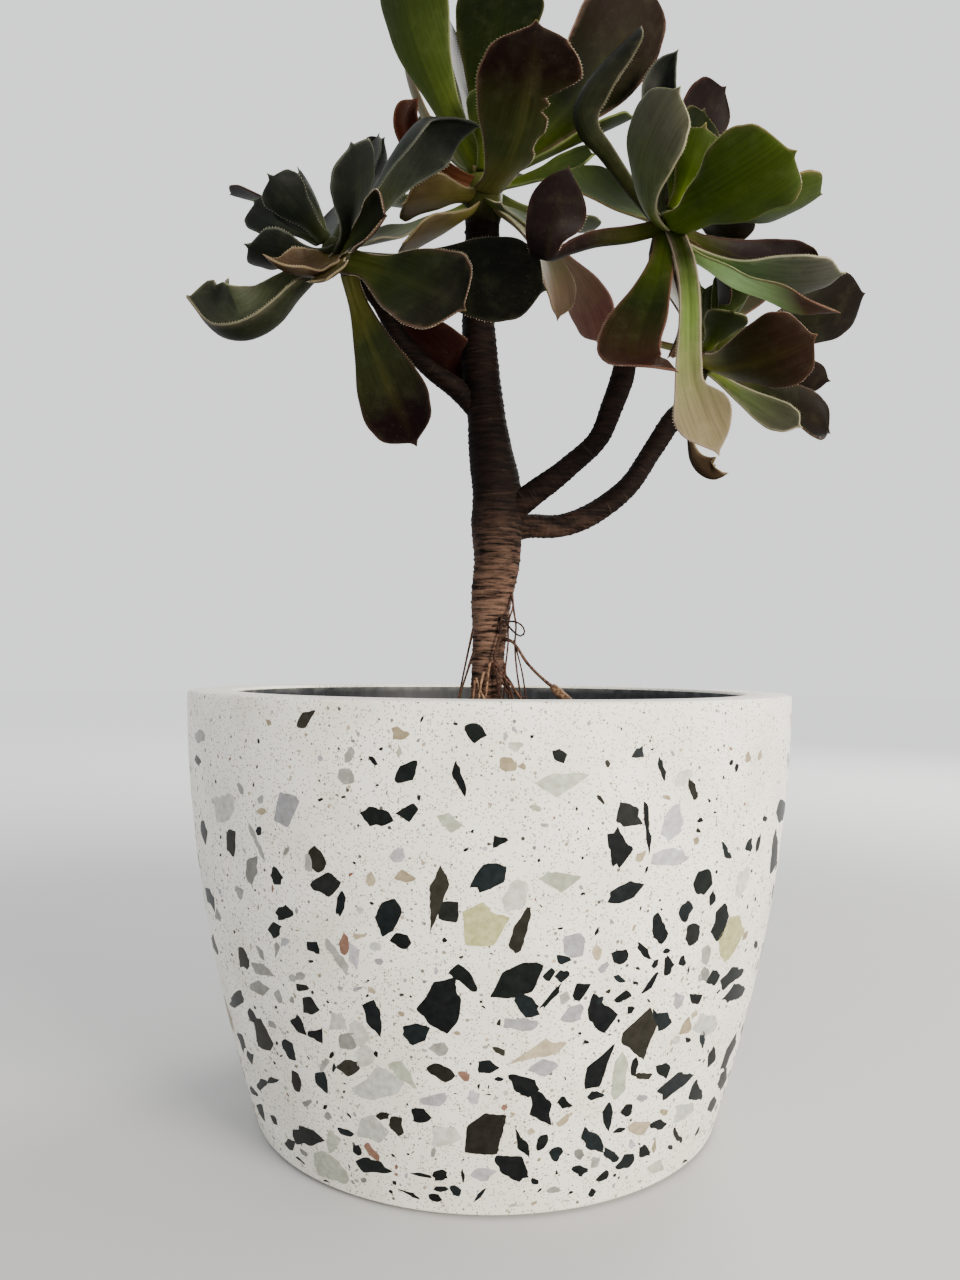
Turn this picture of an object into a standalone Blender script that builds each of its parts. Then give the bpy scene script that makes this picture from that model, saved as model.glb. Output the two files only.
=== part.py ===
"""Tree aeonium with four leaf heads, growing in a round marble-chip planter.

Lengths in this script are millimetres and angles are degrees; MM turns them into Blender's metres.
The origin is the middle of the pot's flat foot, +Z is up, and the plant is seen from -Y.
"""
import math
import random
from typing import NamedTuple

import bmesh
import bpy
from mathutils import Quaternion, Vector

MM = 0.001
MERGE = 0.00001               # metres within which corners made by a modifier become one
GAP = 0.3                     # clear space between pieces that rest on or in each other

# Pot: turned shell that narrows to a recessed foot
POT_HEIGHT = 172.0
RIM_RADIUS = 125.0
BASE_RADIUS = 95.0
FOOT_RADIUS = 91.0
FOOT_HEIGHT = 1.2
WALL = 18.0
FLOOR = 15.0
RIM_ROUND = 1.2
POT_STEPS = 40
POT_CURVE = 1.84              # how the side turns in towards the foot
INSIDE_CORNER = 12.0
INSIDE_LEVELS = 5
OUTSIDE_LEVELS = 9
LEVEL_BIAS = 1.2              # above 1 the levels lie closer together near the foot
DRAIN_HOLES = 3
DRAIN_RADIUS = 5.0
DRAIN_CIRCLE = 45.0
DRAIN_SIDES = 16

# Soil: fills the pot to below the rim, with a hole for each stem that goes into it
SOIL_TOP = 148.0
SOIL_BUMP = 2.2
SOIL_RINGS = 5

# Leaf heads
CORE_SWELL = 1.2              # how much thicker a core is than the stalk under it
CORE_BELOW = 15.0             # how far a core reaches below the middle of its head
CORE_ABOVE = 7.0
CORE_INSET = 0.2              # how much thinner than its stalk a core starts
ROOT_SPREAD = 8.0             # upright leaves leave the core higher than drooping ones, by up to this
LEAF_THICK_ROOT = 3.2
LEAF_THICK_TIP = 1.2
LEAF_THICK_EDGE = 0.9
DEEP_CUP = 45.0               # leaves cupped more than this have five lanes of faces, not three
TRACED_LANES = 5               # lanes of corners across a traced leaf
LEAF_START = 0.5              # share of the stalk's radius at which a leaf's root lies
LEAF_STEPS = 14
BEND_ROOT, BEND_GAIN = 0.4, 1.2    # a leaf bends less at its root than at its tip
LEAF_CREASE = 50.0            # faces that meet at more than this are shaded as an edge

# Spoon-shaped outline: share of the length, share of the widest half width
LEAF_OUTLINE = ((0.0, 0.34), (0.25, 0.34), (0.48, 0.62), (0.70, 0.95), (0.87, 0.96), (0.965, 0.58),
                (1.0, 0.12))


class Leaf(NamedTuple):
    """One leaf: where it points, its size, and how it bends."""
    bearing: float            # compass direction of its root, from +X towards +Y
    lift: float               # angle of its root above the level
    length: float
    width: float
    bend: float = 0.0         # total curl towards the upper face, or away from it if negative
    roll: float = 0.0         # turn of the blade about its midrib
    cup: float = 20.0         # how far each edge turns up
    twist: float = 0.0        # further roll from root to tip
    sweep: float = 0.0        # bend within the blade's own plane
    neck: float = 1.0         # above 1 the stalk is longer and the blade shorter


class Traced(NamedTuple):
    """A leaf that folds or curls, given knot by knot along its midrib.

    A knot is x, y, z, then the width and the fold of either half: first of the half on the side where
    the midrib's course crossed with its facing points, then of the other.
    """
    face: tuple               # where its upper face looks at the knot numbered next
    face_knot: int
    knots: tuple
    cup: float = 20.0         # how far each half curves up beyond its fold
    splay: float = 0.0        # how far the rims reach out lengthwise at both ends


class Head(NamedTuple):
    """One leaf head: where its core is, the way it faces, its stalk's radius, its leaves and its colour."""
    centre: tuple
    axis: tuple
    stalk: float
    leaves: tuple
    seed: int
    colour: tuple


# Stem: (x, y, z, radius) of each knot, from the soil up
STEM_SIDES = {"trunk": 3, "branch": 2, "prop_root": 1, "hanging_root": 1, "slack_root": 1}
SCAR_SPACING = 6.0
SCAR_RELIEF = 0.35
ROOT_SPACING = 9.0
BRANCH_LEAD = 7.0
HOLE_CLEARANCE = 0.8
HOLE_ABOVE = 4.0              # how far a hole's cutter reaches above the buried stem's top
TRUNK = ((-2, 0, 150, 7.8), (-1, 0, 169, 7.2), (0, 0, 194, 7.4), (1, 0, 211, 8.7), (3, 0, 229, 10.4),
         (3, 0, 243, 11.3), (3, 0, 255, 10.7), (1, 0, 270, 10.0), (-2, 0, 290, 8.7), (-4, 0, 307, 8.2),
         (-6, 1, 334, 7.2), (-5, 2, 355, 7.6))
BRANCHES = {
    "left": ((-3, 0, 292, 4.5), (-16, -4, 303, 4.3), (-26, -9, 309, 3.9), (-39, -14, 321, 3.8)),
    "right": ((4, 0, 246, 5.0), (16, -3, 255, 5.2), (33, -7, 268, 4.8), (46, -11, 280, 4.5),
              (51, -13, 293, 4.7), (55, -15, 304, 4.9), (58, -17, 322, 4.4)),
    "low": ((4, 2, 240, 5.0), (15, 5, 244, 5.3), (31, 10, 245, 5.1), (47, 15, 252, 5.0),
            (62, 20, 264, 4.9), (74, 24, 281, 4.6), (84, 28, 297, 4.6)),
}
ROOTS = {
    "prop_root": ((0, -3, 200, 1.2), (7, -12, 193, 0.8), (19, -21, 182, 0.7), (29, -28, 172, 0.9),
                  (38, -34, 161, 1.8), (43, -37, 152, 2.0)),
    "hanging_root": ((4, -2, 214, 0.7), (11, -5, 206, 0.6), (14, -7, 184, 0.6), (17, -9, 160, 0.6),
                     (17, -9, 152, 0.6)),
    "slack_root": ((1, -3, 188, 0.7), (7, -11, 178, 0.7), (13, -17, 163, 0.7), (15, -19, 152, 0.7)),
}
BURIED = {
    "trunk": ((-2, 0, 150, 7.8), (-2, 0, 100, 6.0)),
    "prop_root": ((43, -37, 152, 2.0), (45, -38, 136, 1.4)),
    "hanging_root": ((17, -9, 152, 0.6), (17, -9, 138, 0.6)),
    "slack_root": ((15, -19, 152, 0.7), (15, -20, 138, 0.6)),
}

# Heads: every leaf that shows from the front, with what tells it apart
LEFT_LEAVES = (
    Traced((0.5, -0.5, -0.7), 5, (  # folded slate leaf across the trunk
        (-62, -25, 354, 4, 20, 4, 20), (-55, -32, 363, 6, 35, 5, 40), (-46, -37, 374, 9, 40, 7, 50),
        (-39.5, -40, 384, 14, 42, 11, 55), (-34, -42, 391, 18, 45, 13, 60),
        (-28.5, -42, 396.5, 19, 45, 11, 60), (-21.5, -41, 398.5, 17, 40, 5, 50),
        (-14, -39, 399.5, 9, 30, 2, 30), (-7.5, -38, 398.5, 1, 0, 1, 0))),
    Leaf(-68, -8, 58, 23, bend=-5, roll=28, cup=40),                 # short one below it, towards the front
    Leaf(-66, 6, 60, 23, bend=35, roll=-2, sweep=-8),                # upright in the middle
    Leaf(22, 64, 51, 15, bend=19, roll=25, twist=-8),                # two upright ones seen from the edge
    Leaf(51, 64, 62, 15, roll=-65),
    Leaf(165, 30, 34, 27, bend=12, roll=-15),                        # dark, rounded end to the left
    Leaf(144, 40, 68, 15, bend=-23, roll=71),                        # seen from its edge, far left
    Leaf(-137, -31, 38, 25, bend=55, cup=28),                        # lower left, behind the cupped one
    Traced((0, -0.64, 0.77), 5, (  # big cupped leaf
        (-66, -25, 350, 4, 20, 4, 20), (-74, -30, 338, 8, 28, 6, 26), (-80, -33, 329, 13, 30, 10, 34),
        (-85, -36, 320, 18, 28, 14, 38), (-91.5, -37, 314.5, 20.5, 26, 15, 40),
        (-99, -37, 312, 21, 24, 15, 40), (-106.5, -36, 313.5, 21, 22, 9, 40),
        (-113.5, -35, 318.5, 19, 18, 3, 30), (-119, -33, 325.5, 12, 10, 1.5, 10),
        (-122.5, -32, 330, 1, 0, 1, 0)), cup=40, splay=1.7),
    Traced((0.2, -0.55, 0.8), 3, (  # wavy rim towards the front
        (-66, -26, 350, 4, 20, 4, 20), (-67.5, -36, 341, 9, 35, 5, 25), (-73, -43, 335.5, 11, 40, 6, 30),
        (-78.5, -48, 334.5, 10, 40, 6, 30), (-83, -51, 335.5, 6, 30, 4, 20),
        (-86.5, -53, 338, 1, 0, 1, 0)), cup=25),
    Leaf(-90, -38, 36, 17, bend=10, roll=-20, cup=24),
    Leaf(-52, -65, 83, 28, bend=-25, twist=-30),                     # long one that hangs down
    Leaf(-52, -24, 77, 34, bend=-22, roll=6),                        # broad one in front of the trunk
    Leaf(-22, -12, 83, 34, bend=-15, roll=42, cup=10),               # darkest one behind it
    Leaf(14, -6, 54, 24, bend=-50),                                  # old red one above the branch
)
TOP_LEAVES = (
    Leaf(-155, 53, 94, 34, bend=22, roll=41, sweep=28, cup=28),      # the three tallest
    Leaf(6, 87, 88, 38, bend=-4, roll=18, sweep=-9, cup=10),
    Leaf(0, 38, 101, 41, bend=-10, roll=-64, sweep=-37),
    Leaf(-74, -13, 91, 38, bend=70, sweep=-9, cup=8),                # red-brown one towards the front
    Leaf(-7, 22, 66, 24, roll=21, twist=-9, cup=25),                 # bright ones to the right
    Leaf(-20, 2, 47, 20, bend=17, roll=49, cup=27),
    Leaf(-130, -20, 47, 25, roll=33, sweep=-16),                     # olive ones to the lower left
    Leaf(-125, -40, 58, 24, bend=15, roll=31, cup=12),
    Leaf(-171, -28, 56, 24, bend=10, roll=-35, twist=11),            # long, wavy, seen from its edge
    Leaf(-61, -31, 52, 22, bend=-14, roll=-8, cup=26),
    Leaf(155, 44, 84, 25, bend=45, roll=25),                         # behind the tallest ones
    Leaf(133, 67, 84, 25, bend=15, roll=36),
    Traced((0.2, -0.9, -0.3), 3, (  # dead one, rolled up
        (-8, -2, 392, 4, 10, 4, 10), (-18, -8, 392.5, 5, 20, 5, 20), (-27, -14, 395.5, 6, 30, 6, 30),
        (-33.5, -17, 400.5, 7, 30, 7, 30), (-37, -18, 407.5, 7.5, 30, 7.5, 30),
        (-36, -18, 415, 6, 30, 6, 30), (-33, -18, 420, 1, 0, 1, 0)), cup=35),
    Leaf(-24, -36, 62, 24, bend=-68, roll=15, cup=26),               # old ones that hang down
    Leaf(24, -21, 81, 29, bend=-53, roll=25, twist=-42, cup=14),
)
RIGHT_LEAVES = (
    Traced((1, 0.1, 0.2), 4, (  # tall, curved, seen from its edge
        (68, -22, 367, 4, 10, 4, 10), (52.5, -28, 381, 5, 20, 5, 25), (43, -34, 389, 5.5, 28, 6, 38),
        (34.5, -38, 395.5, 8, 30, 8.5, 45), (32, -40, 403, 10, 32, 11, 48),
        (34.5, -40, 410.5, 11, 32, 12, 48), (40, -39, 419, 11, 30, 11, 45), (49, -37, 430, 9, 28, 9, 38),
        (56, -35, 438, 5, 20, 5, 20), (58.5, -34, 441, 1, 0, 1, 0)), cup=35),
    Leaf(-126, -3, 72, 28, bend=100, roll=-32, cup=25),              # oval, towards the front
    Leaf(79, 59, 76, 27, bend=52, roll=31, sweep=-7, cup=17),        # purple one behind it
    Traced((-0.3, -0.95, 0), 2, (  # folded one at the back
        (73, -19, 368, 4, 20, 4, 20), (73.5, -6, 390, 6, 35, 6, 35), (72.5, -3, 409.5, 8.5, 40, 8.5, 40),
        (73, -2, 426.5, 8.5, 40, 8.5, 40), (74, -4, 438, 6, 35, 6, 35), (75.5, -8, 443, 3, 20, 3, 20),
        (77.5, -12, 445, 1, 0, 1, 0)), cup=25),
    Leaf(-82, -15, 75, 38, bend=52, roll=-31, sweep=15, twist=17, cup=37),   # broad bright green one
    Leaf(16, 12, 75, 29, bend=15, roll=-31, cup=30),                 # behind it
    Leaf(41, 23, 55, 22, bend=-40, roll=-20, sweep=11, cup=23),
    Leaf(-20, 74, 38, 25, bend=5, roll=50),                          # dark green one in the middle
    Leaf(-21, -39, 73, 28, bend=54, roll=-6, twist=-10),             # to the right, grey green
    Leaf(23, -12, 69, 26, bend=40, roll=62, sweep=-12, cup=45),      # cupped, behind it
    Leaf(-37, -42, 80, 24, bend=26, roll=-33, twist=38, cup=8),      # twisted, with a red rim
    Traced((-0.1, 0.95, -0.1), 6, (  # purple blade turned back on itself
        (71, -22, 364, 5, 10, 5, 10), (55, -33, 355, 4.5, 10, 4.5, 10),
        (39.5, -44, 348, 4.5, 10, 4.5, 10), (28, -55, 340, 6, 15, 4.5, 10), (20.5, -63, 335, 8, 12, 3, 5),
        (20.5, -68.5, 338.5, 9.5, 8, 4.5, 5), (22.5, -70.5, 346, 11, 8, 10, 5),
        (24, -69.5, 354, 10.5, 5, 10.5, 5), (25.5, -67.5, 361, 7, 5, 7, 5),
        (27, -65, 366.5, 1, 0, 1, 0)), cup=18),
    Traced((-0.1, -0.9, 0.3), 2, (  # curled end, lower left
        (72, -24, 362, 4.5, 10, 4.5, 10), (68, -32, 345.5, 5, 10, 5, 10),
        (63.5, -40, 331, 8, 10, 6.5, 10), (59, -47, 318.5, 11.5, 8, 8.5, 8),
        (54.5, -53, 308.5, 13, 4, 10, 4), (51.5, -59, 301, 13.5, 0, 10.5, 0),
        (50.5, -65, 297.5, 13.5, 0, 10.5, 0), (51, -70.5, 298.5, 12.5, 0, 9.5, 0),
        (52.5, -74, 302, 9, 0, 7, 0), (53.5, -75, 305, 1, 0, 1, 0)), cup=6),
    Traced((0, -1, 0), 4, (  # pale one that hangs straight down
        (74.5, -25, 362, 4, 10, 4, 10), (76.5, -32, 350, 4, 10, 4, 10), (77.5, -38, 337, 4, 10, 4, 10),
        (77.5, -42, 323.5, 4.3, 10, 4, 10), (77, -45, 310.5, 4.8, 12, 4, 12),
        (77, -46.5, 300.5, 6.5, 14, 4, 20), (78, -47.5, 291, 8.5, 14, 4.5, 25),
        (80, -48, 284.5, 11, 12, 10, 15), (82, -49, 277.5, 12, 10, 10.5, 10),
        (84.5, -49.5, 271.5, 8, 5, 7, 5), (86.5, -50, 266, 1, 0, 1, 0)), cup=8),
    Leaf(-40, -66, 52, 16, bend=-50, roll=-32, cup=15),              # brown one behind it
    Leaf(23, -11, 45, 18, bend=-72, roll=30),
    Leaf(125, 30, 69, 26, bend=31, roll=-31),                        # pale green, to the upper left
)
LOW_LEAVES = (
    Leaf(-85, -27, 72, 33, bend=84, roll=-32, twist=-9, cup=24),     # big oval one
    Leaf(6, 14, 86, 32, bend=22, roll=-58, sweep=-8, twist=-8),      # to the upper right
    Leaf(11, -23, 72, 27, bend=-9, roll=59, cup=34),                 # to the lower right
    Leaf(23, -3, 73, 16, roll=-79),                                  # two seen from the edge
    Leaf(-27, -44, 57, 14, bend=21, roll=78, sweep=10),
    Traced((1, 0, 0), 1, (  # lowest, on a long thin stalk
        (98, 31, 325, 3, 10, 3, 10), (94, 24, 313, 2.4, 10, 2.4, 10), (91.5, 21, 298.5, 2, 10, 2, 10),
        (91, 20, 285, 2.6, 20, 2.6, 20), (92, 19, 276.5, 5, 45, 5, 45), (95, 17, 271, 7.5, 50, 7.5, 50),
        (100, 15, 268, 7, 45, 7, 45), (105, 13, 269.5, 1, 0, 1, 0)), cup=30),
    Leaf(-86, 4, 38, 18, bend=7, roll=5),                            # young one in the middle
)
HEADS = {
    "left": Head((-64, -24, 352), (-0.75, -0.25, 0.75), 3.7, LEFT_LEAVES, 11,
                 (0.04, 0.06, 0.035)),
    "top": Head((-4.4, 2, 391.5), (0.0, -0.1, 1.0), 7.4, TOP_LEAVES, 12,
                (0.12, 0.15, 0.03)),
    "right": Head((73, -20, 365.6), (0.25, -0.15, 0.95), 4.2, RIGHT_LEAVES, 13,
                  (0.10, 0.14, 0.06)),
    "low": Head((100, 34, 330), (0.3, -0.1, 0.95), 4.5, LOW_LEAVES, 14,
                (0.07, 0.04, 0.03)),
}

# Leaves that no view from the front tells: the far side's and the young ones
GOLDEN_ANGLE = 137.5
SPIRAL_TURNS = 22
SPIRAL_TILT = (20.0, 95.0)    # away from the head's axis, first and last
SPIRAL_STRAY = 6.0
SPIRAL_CLEAR = 26.0           # least angle to any other leaf
SPIRAL_LENGTH = (66.0, 80.0)
SPIRAL_WIDTH = (24.0, 28.0)
SPIRAL_BEND = (10.0, 30.0)
SPIRAL_CUP = 22.0
FAR_SIDE = 0.5                # least share of its direction that points away from the front
YOUNG_LEAVES = 5
YOUNG_START = 40.0
YOUNG_CLEAR = 20.0
YOUNG_TILT = (22.0, 5.0)      # first one, and what each further one adds, as in the two below
YOUNG_LENGTH = (20.0, 3.0)
YOUNG_WIDTH = (13.0, 1.2)
YOUNG_BEND = 25.0
YOUNG_CUP = 35.0


def metres(point):
    """Turn a point in millimetres into a Vector in metres."""
    return Vector(point) * MM


def material(name, colour, roughness):
    """A plain Principled material in the given linear colour."""
    made = bpy.data.materials.new(name)
    made.use_nodes = True
    shader = made.node_tree.nodes["Principled BSDF"]
    shader.inputs["Base Color"].default_value = (*colour, 1.0)
    shader.inputs["Roughness"].default_value = roughness
    shader.inputs["Metallic"].default_value = 0.0
    return made


def clear_scene():
    """Remove every object, so that the script starts from an empty scene."""
    for obj in list(bpy.data.objects):
        bpy.data.objects.remove(obj, do_unlink=True)


def new_collection(name):
    """A collection linked to the scene."""
    made = bpy.data.collections.new(name)
    bpy.context.scene.collection.children.link(made)
    return made


def mesh_object(name, bm, collection, finish=None):
    """Put a bmesh in a new named object, with its faces pointing out."""
    bmesh.ops.recalc_face_normals(bm, faces=bm.faces)
    data = bpy.data.meshes.new(name)
    bm.to_mesh(data)
    bm.free()
    obj = bpy.data.objects.new(name, data)
    collection.objects.link(obj)
    if finish:
        data.materials.append(finish)
    return obj


def evaluated_copy(obj):
    """The mesh of an object with its modifiers applied."""
    bpy.context.view_layer.update()
    depsgraph = bpy.context.evaluated_depsgraph_get()
    return bpy.data.meshes.new_from_object(obj.evaluated_get(depsgraph), depsgraph=depsgraph)


def apply_modifiers(obj):
    """Replace an object's mesh with its evaluated one and drop the modifiers."""
    data = evaluated_copy(obj)
    obj.modifiers.clear()
    obj.data = data


def remove_objects(objects):
    """Remove the given objects."""
    for obj in list(objects):
        bpy.data.objects.remove(obj, do_unlink=True)


def union_all(target, others):
    """Join a collection of solids into the target with one exact union, and remove them."""
    join = target.modifiers.new("Join", 'BOOLEAN')
    join.operation = 'UNION'
    join.operand_type = 'COLLECTION'
    join.collection = others
    join.solver = 'EXACT'
    apply_modifiers(target)
    remove_objects(others.objects)
    keep_largest_body(target)


def keep_largest_body(obj):
    """Fill the small hollows that a union seals, by keeping only the largest of the mesh's bodies."""
    bm = bmesh.new()
    bm.from_mesh(obj.data)
    bodies = []
    left = set(bm.verts)
    while left:
        body, edge_of_body = set(), [left.pop()]
        while edge_of_body:
            vert = edge_of_body.pop()
            body.add(vert)
            near = {edge.other_vert(vert) for edge in vert.link_edges} & left
            left -= near
            edge_of_body.extend(near)
        bodies.append(body)
    for body in sorted(bodies, key=len)[:-1]:
        bmesh.ops.delete(bm, geom=list(body), context='VERTS')
    bm.to_mesh(obj.data)
    bm.free()


def turned(name, profile, steps, collection, finish):
    """A turned solid: a profile of (radius, height) points spun about Z with a Screw modifier."""
    bm = bmesh.new()
    verts = [bm.verts.new((radius * MM, 0.0, height * MM)) for radius, height in profile]
    for first, second in zip(verts, verts[1:]):
        bm.edges.new((first, second))
    data = bpy.data.meshes.new(name)
    bm.to_mesh(data)
    bm.free()
    obj = bpy.data.objects.new(name, data)
    collection.objects.link(obj)
    data.materials.append(finish)
    screw = obj.modifiers.new("Turn", 'SCREW')
    screw.steps = steps
    screw.render_steps = steps
    screw.use_merge_vertices = True
    screw.merge_threshold = MERGE
    screw.use_smooth_shade = True
    return obj


def tube(name, points, radii, resolution, collection):
    """A tube along a route, made as a curve and turned into a closed mesh."""
    curve = bpy.data.curves.new(name, 'CURVE')
    curve.dimensions = '3D'
    curve.bevel_depth = MM
    curve.bevel_resolution = resolution
    curve.use_fill_caps = True
    spline = curve.splines.new('POLY')
    spline.points.add(len(points) - 1)
    for spot, point, radius in zip(spline.points, points, radii):
        spot.co = (*metres(point), 1.0)
        spot.radius = radius
    guide = bpy.data.objects.new(name + "_route", curve)
    collection.objects.link(guide)
    data = evaluated_copy(guide)
    obj = bpy.data.objects.new(name, data)
    obj.matrix_world = guide.matrix_world
    collection.objects.link(obj)
    bpy.data.objects.remove(guide, do_unlink=True)
    bm = bmesh.new()
    bm.from_mesh(data)
    bmesh.ops.remove_doubles(bm, verts=bm.verts, dist=MERGE)
    bmesh.ops.recalc_face_normals(bm, faces=bm.faces)
    bm.to_mesh(data)
    bm.free()
    return obj


def smooth_route(points, spacing):
    """Points about one spacing apart on a smooth curve through the given (x, y, z, radius) points."""
    knots = [Vector(point) for point in points]
    knots = [knots[0] * 2 - knots[1]] + knots + [knots[-1] * 2 - knots[-2]]
    route = []
    for before, start, end, after in zip(knots, knots[1:], knots[2:], knots[3:]):
        count = max(1, round((end - start).length / spacing))
        for step in range(count):
            t = step / count
            route.append(0.5 * (2 * start + (end - before) * t
                                + (2 * before - 5 * start + 4 * end - after) * t ** 2
                                + (3 * start - before - 3 * end + after) * t ** 3))
    route.append(knots[-2])
    return route


def pot_outer(height):
    """Outer radius of the pot at a height: steep near the rim, turning in faster towards the foot."""
    share = height / POT_HEIGHT
    return BASE_RADIUS + (RIM_RADIUS - BASE_RADIUS) * (1 - (1 - share) ** POT_CURVE)


def pot_inside(gap):
    """Profile of the pot's inside from the middle of its floor up to the rim, drawn in by a gap."""
    low = FLOOR + INSIDE_CORNER
    foot = pot_outer(low) - WALL
    profile = [(0.0, FLOOR + gap), (foot - INSIDE_CORNER, FLOOR + gap),
               (foot - 0.3 * INSIDE_CORNER - gap, FLOOR + 0.3 * INSIDE_CORNER)]
    for step in range(INSIDE_LEVELS + 1):
        height = low + (POT_HEIGHT - RIM_ROUND - low) * step / INSIDE_LEVELS
        profile.append((pot_outer(height) - WALL - gap, height))
    return profile


def add_pot(collection, cutters):
    """The planter: one cast shell with a flat ground rim, a recessed foot and drain holes."""
    stone = material("marble_chip_stone", (0.78, 0.76, 0.70), 0.45)
    rim_inner = RIM_RADIUS - WALL
    profile = pot_inside(0.0)
    profile += [(rim_inner + RIM_ROUND, POT_HEIGHT), (RIM_RADIUS - RIM_ROUND, POT_HEIGHT)]
    for step in range(OUTSIDE_LEVELS + 1):
        share = 1 - step / OUTSIDE_LEVELS
        height = FOOT_HEIGHT + RIM_ROUND + (POT_HEIGHT - FOOT_HEIGHT - 2 * RIM_ROUND) * share ** LEVEL_BIAS
        profile.append((pot_outer(height), height))
    profile += [(BASE_RADIUS - RIM_ROUND, FOOT_HEIGHT), (FOOT_RADIUS, FOOT_HEIGHT),
                (FOOT_RADIUS, 0.0), (0.0, 0.0)]
    pot = turned("pot", profile, POT_STEPS, collection, stone)
    for number in range(DRAIN_HOLES):
        angle = math.tau * number / DRAIN_HOLES + math.pi / 6
        bpy.ops.mesh.primitive_cylinder_add(
            vertices=DRAIN_SIDES, radius=DRAIN_RADIUS * MM, depth=4 * FLOOR * MM,
            location=(DRAIN_CIRCLE * math.cos(angle) * MM, DRAIN_CIRCLE * math.sin(angle) * MM, 0.0))
        drain = bpy.context.object
        drain.name = f"drain_cutter_{number + 1}"
        keep_as_cutter(drain, cutters)
        cut(pot, drain)
    return pot


def keep_as_cutter(obj, cutters):
    """Move an object to the cutters' collection and hide it."""
    for home in list(obj.users_collection):
        home.objects.unlink(obj)
    cutters.objects.link(obj)
    obj.hide_render = True
    obj.display_type = 'WIRE'


def cut(target, cutter):
    """Cut one solid out of another."""
    difference = target.modifiers.new(f"Cut {cutter.name}", 'BOOLEAN')
    difference.operation = 'DIFFERENCE'
    difference.object = cutter
    difference.solver = 'EXACT'


def soil_bump(x, y):
    """Height of the uneven soil above or below its mean level."""
    return SOIL_BUMP * (0.5 * math.sin(x / 11.0 + 1.3) * math.cos(y / 9.0)
                        + 0.5 * math.sin((x + y) / 6.5) * math.cos((x - y) / 14.0 + 0.6))


def add_soil(collection, cutters):
    """The potting mix: it follows the pot's inside and has a plain hole for each buried stem."""
    earth = material("potting_mix", (0.05, 0.035, 0.025), 0.95)
    inside = [point for point in pot_inside(GAP) if point[1] < SOIL_TOP]
    edge = pot_outer(SOIL_TOP) - WALL - GAP
    top = [(edge * step / SOIL_RINGS, SOIL_TOP) for step in range(SOIL_RINGS + 1)]
    soil = turned("soil", top + inside[::-1], POT_STEPS, collection, earth)
    apply_modifiers(soil)
    for vert in soil.data.vertices:
        x, y, z = vert.co / MM
        if z > SOIL_TOP - 1 and math.hypot(x, y) < edge - 1:
            vert.co.z += soil_bump(x, y) * MM
    for name, buried in BURIED.items():
        mouth = (buried[0][0], buried[0][1], buried[0][2] + HOLE_ABOVE, buried[0][3])
        knots = (mouth, *buried)
        hole = tube(f"{name}_hole_cutter", [knot[:3] for knot in knots],
                    [knot[3] + HOLE_CLEARANCE for knot in knots], STEM_SIDES[name], cutters)
        keep_as_cutter(hole, cutters)
        cut(soil, hole)
    return soil


def ringed(route):
    """Points and radii along a stem, swollen and waisted in turn by its leaf scars."""
    points = [knot[:3] for knot in route]
    radii = [knot[3] + (SCAR_RELIEF if number % 2 else -SCAR_RELIEF) * min(1.0, knot[3] / 8)
             for number, knot in enumerate(route)]
    return points, radii


def stalk_end(head):
    """The last two knots of the stem that carries a head, square to the head's core and just clear of it."""
    axis = Vector(head.axis).normalized()
    tip = Vector(head.centre) - axis * (CORE_BELOW + GAP)
    return tuple((*(tip - axis * lead), head.stalk) for lead in (BRANCH_LEAD, 0.0))


def add_stem(collection):
    """Trunk, branches and roots, joined as the one piece that grew."""
    bark = material("scarred_bark", (0.12, 0.075, 0.05), 0.8)
    joined = new_collection("stem_pieces")
    points, radii = ringed(smooth_route(TRUNK + stalk_end(HEADS["top"]), SCAR_SPACING))
    buried = BURIED["trunk"][1]
    points.insert(0, buried[:3])
    radii.insert(0, buried[3])
    stem = tube("stem", points, radii, STEM_SIDES["trunk"], collection)
    stem.data.materials.append(bark)
    for name, knots in BRANCHES.items():
        points, radii = ringed(smooth_route(knots + stalk_end(HEADS[name]), SCAR_SPACING))
        tube(f"branch_{name}", points, radii, STEM_SIDES["branch"], joined)
    for name, knots in ROOTS.items():
        route = smooth_route(knots, ROOT_SPACING)
        points = [knot[:3] for knot in route] + [point[:3] for point in BURIED[name][1:]]
        radii = [knot[3] for knot in route] + [point[3] for point in BURIED[name][1:]]
        tube(name, points, radii, STEM_SIDES[name], joined)
    union_all(stem, joined)
    bpy.data.collections.remove(joined)
    return stem


def lean(vector, axis, angle):
    """Turn a vector about an axis by an angle in radians."""
    return Quaternion(axis, angle) @ vector


def leaf_frames(head, leaf, stations):
    """Place, facing and sideways direction of the midrib at each share of a leaf's length."""
    axis = Vector(head.axis).normalized()
    bearing, lift = math.radians(leaf.bearing), math.radians(leaf.lift)
    along = Vector((math.cos(lift) * math.cos(bearing), math.cos(lift) * math.sin(bearing), math.sin(lift)))
    facing = lean((axis - along * axis.dot(along)).normalized(), along, math.radians(leaf.roll))
    spot = Vector(head.centre) + along * (LEAF_START * head.stalk) + axis * (ROOT_SPREAD * axis.dot(along))
    frames = []
    share = 0.0
    for station in stations:
        pieces = math.ceil((station - share) * LEAF_STEPS)
        for piece in range(pieces):
            step = (station - share) / pieces
            spot = spot + along * (leaf.length * step)
            more = BEND_ROOT + BEND_GAIN * (share + (piece + 0.5) * step)
            side = along.cross(facing)
            turn = math.radians(leaf.bend) * more * step
            along, facing = lean(along, side, turn), lean(facing, side, turn)
            along = lean(along, facing, math.radians(leaf.sweep) * more * step)
            facing = lean(facing, along, math.radians(leaf.twist) * step)
            facing = (facing - along * facing.dot(along)).normalized()
        share = station
        frames.append((spot.copy(), facing.copy(), along.cross(facing)))
    return frames


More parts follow.
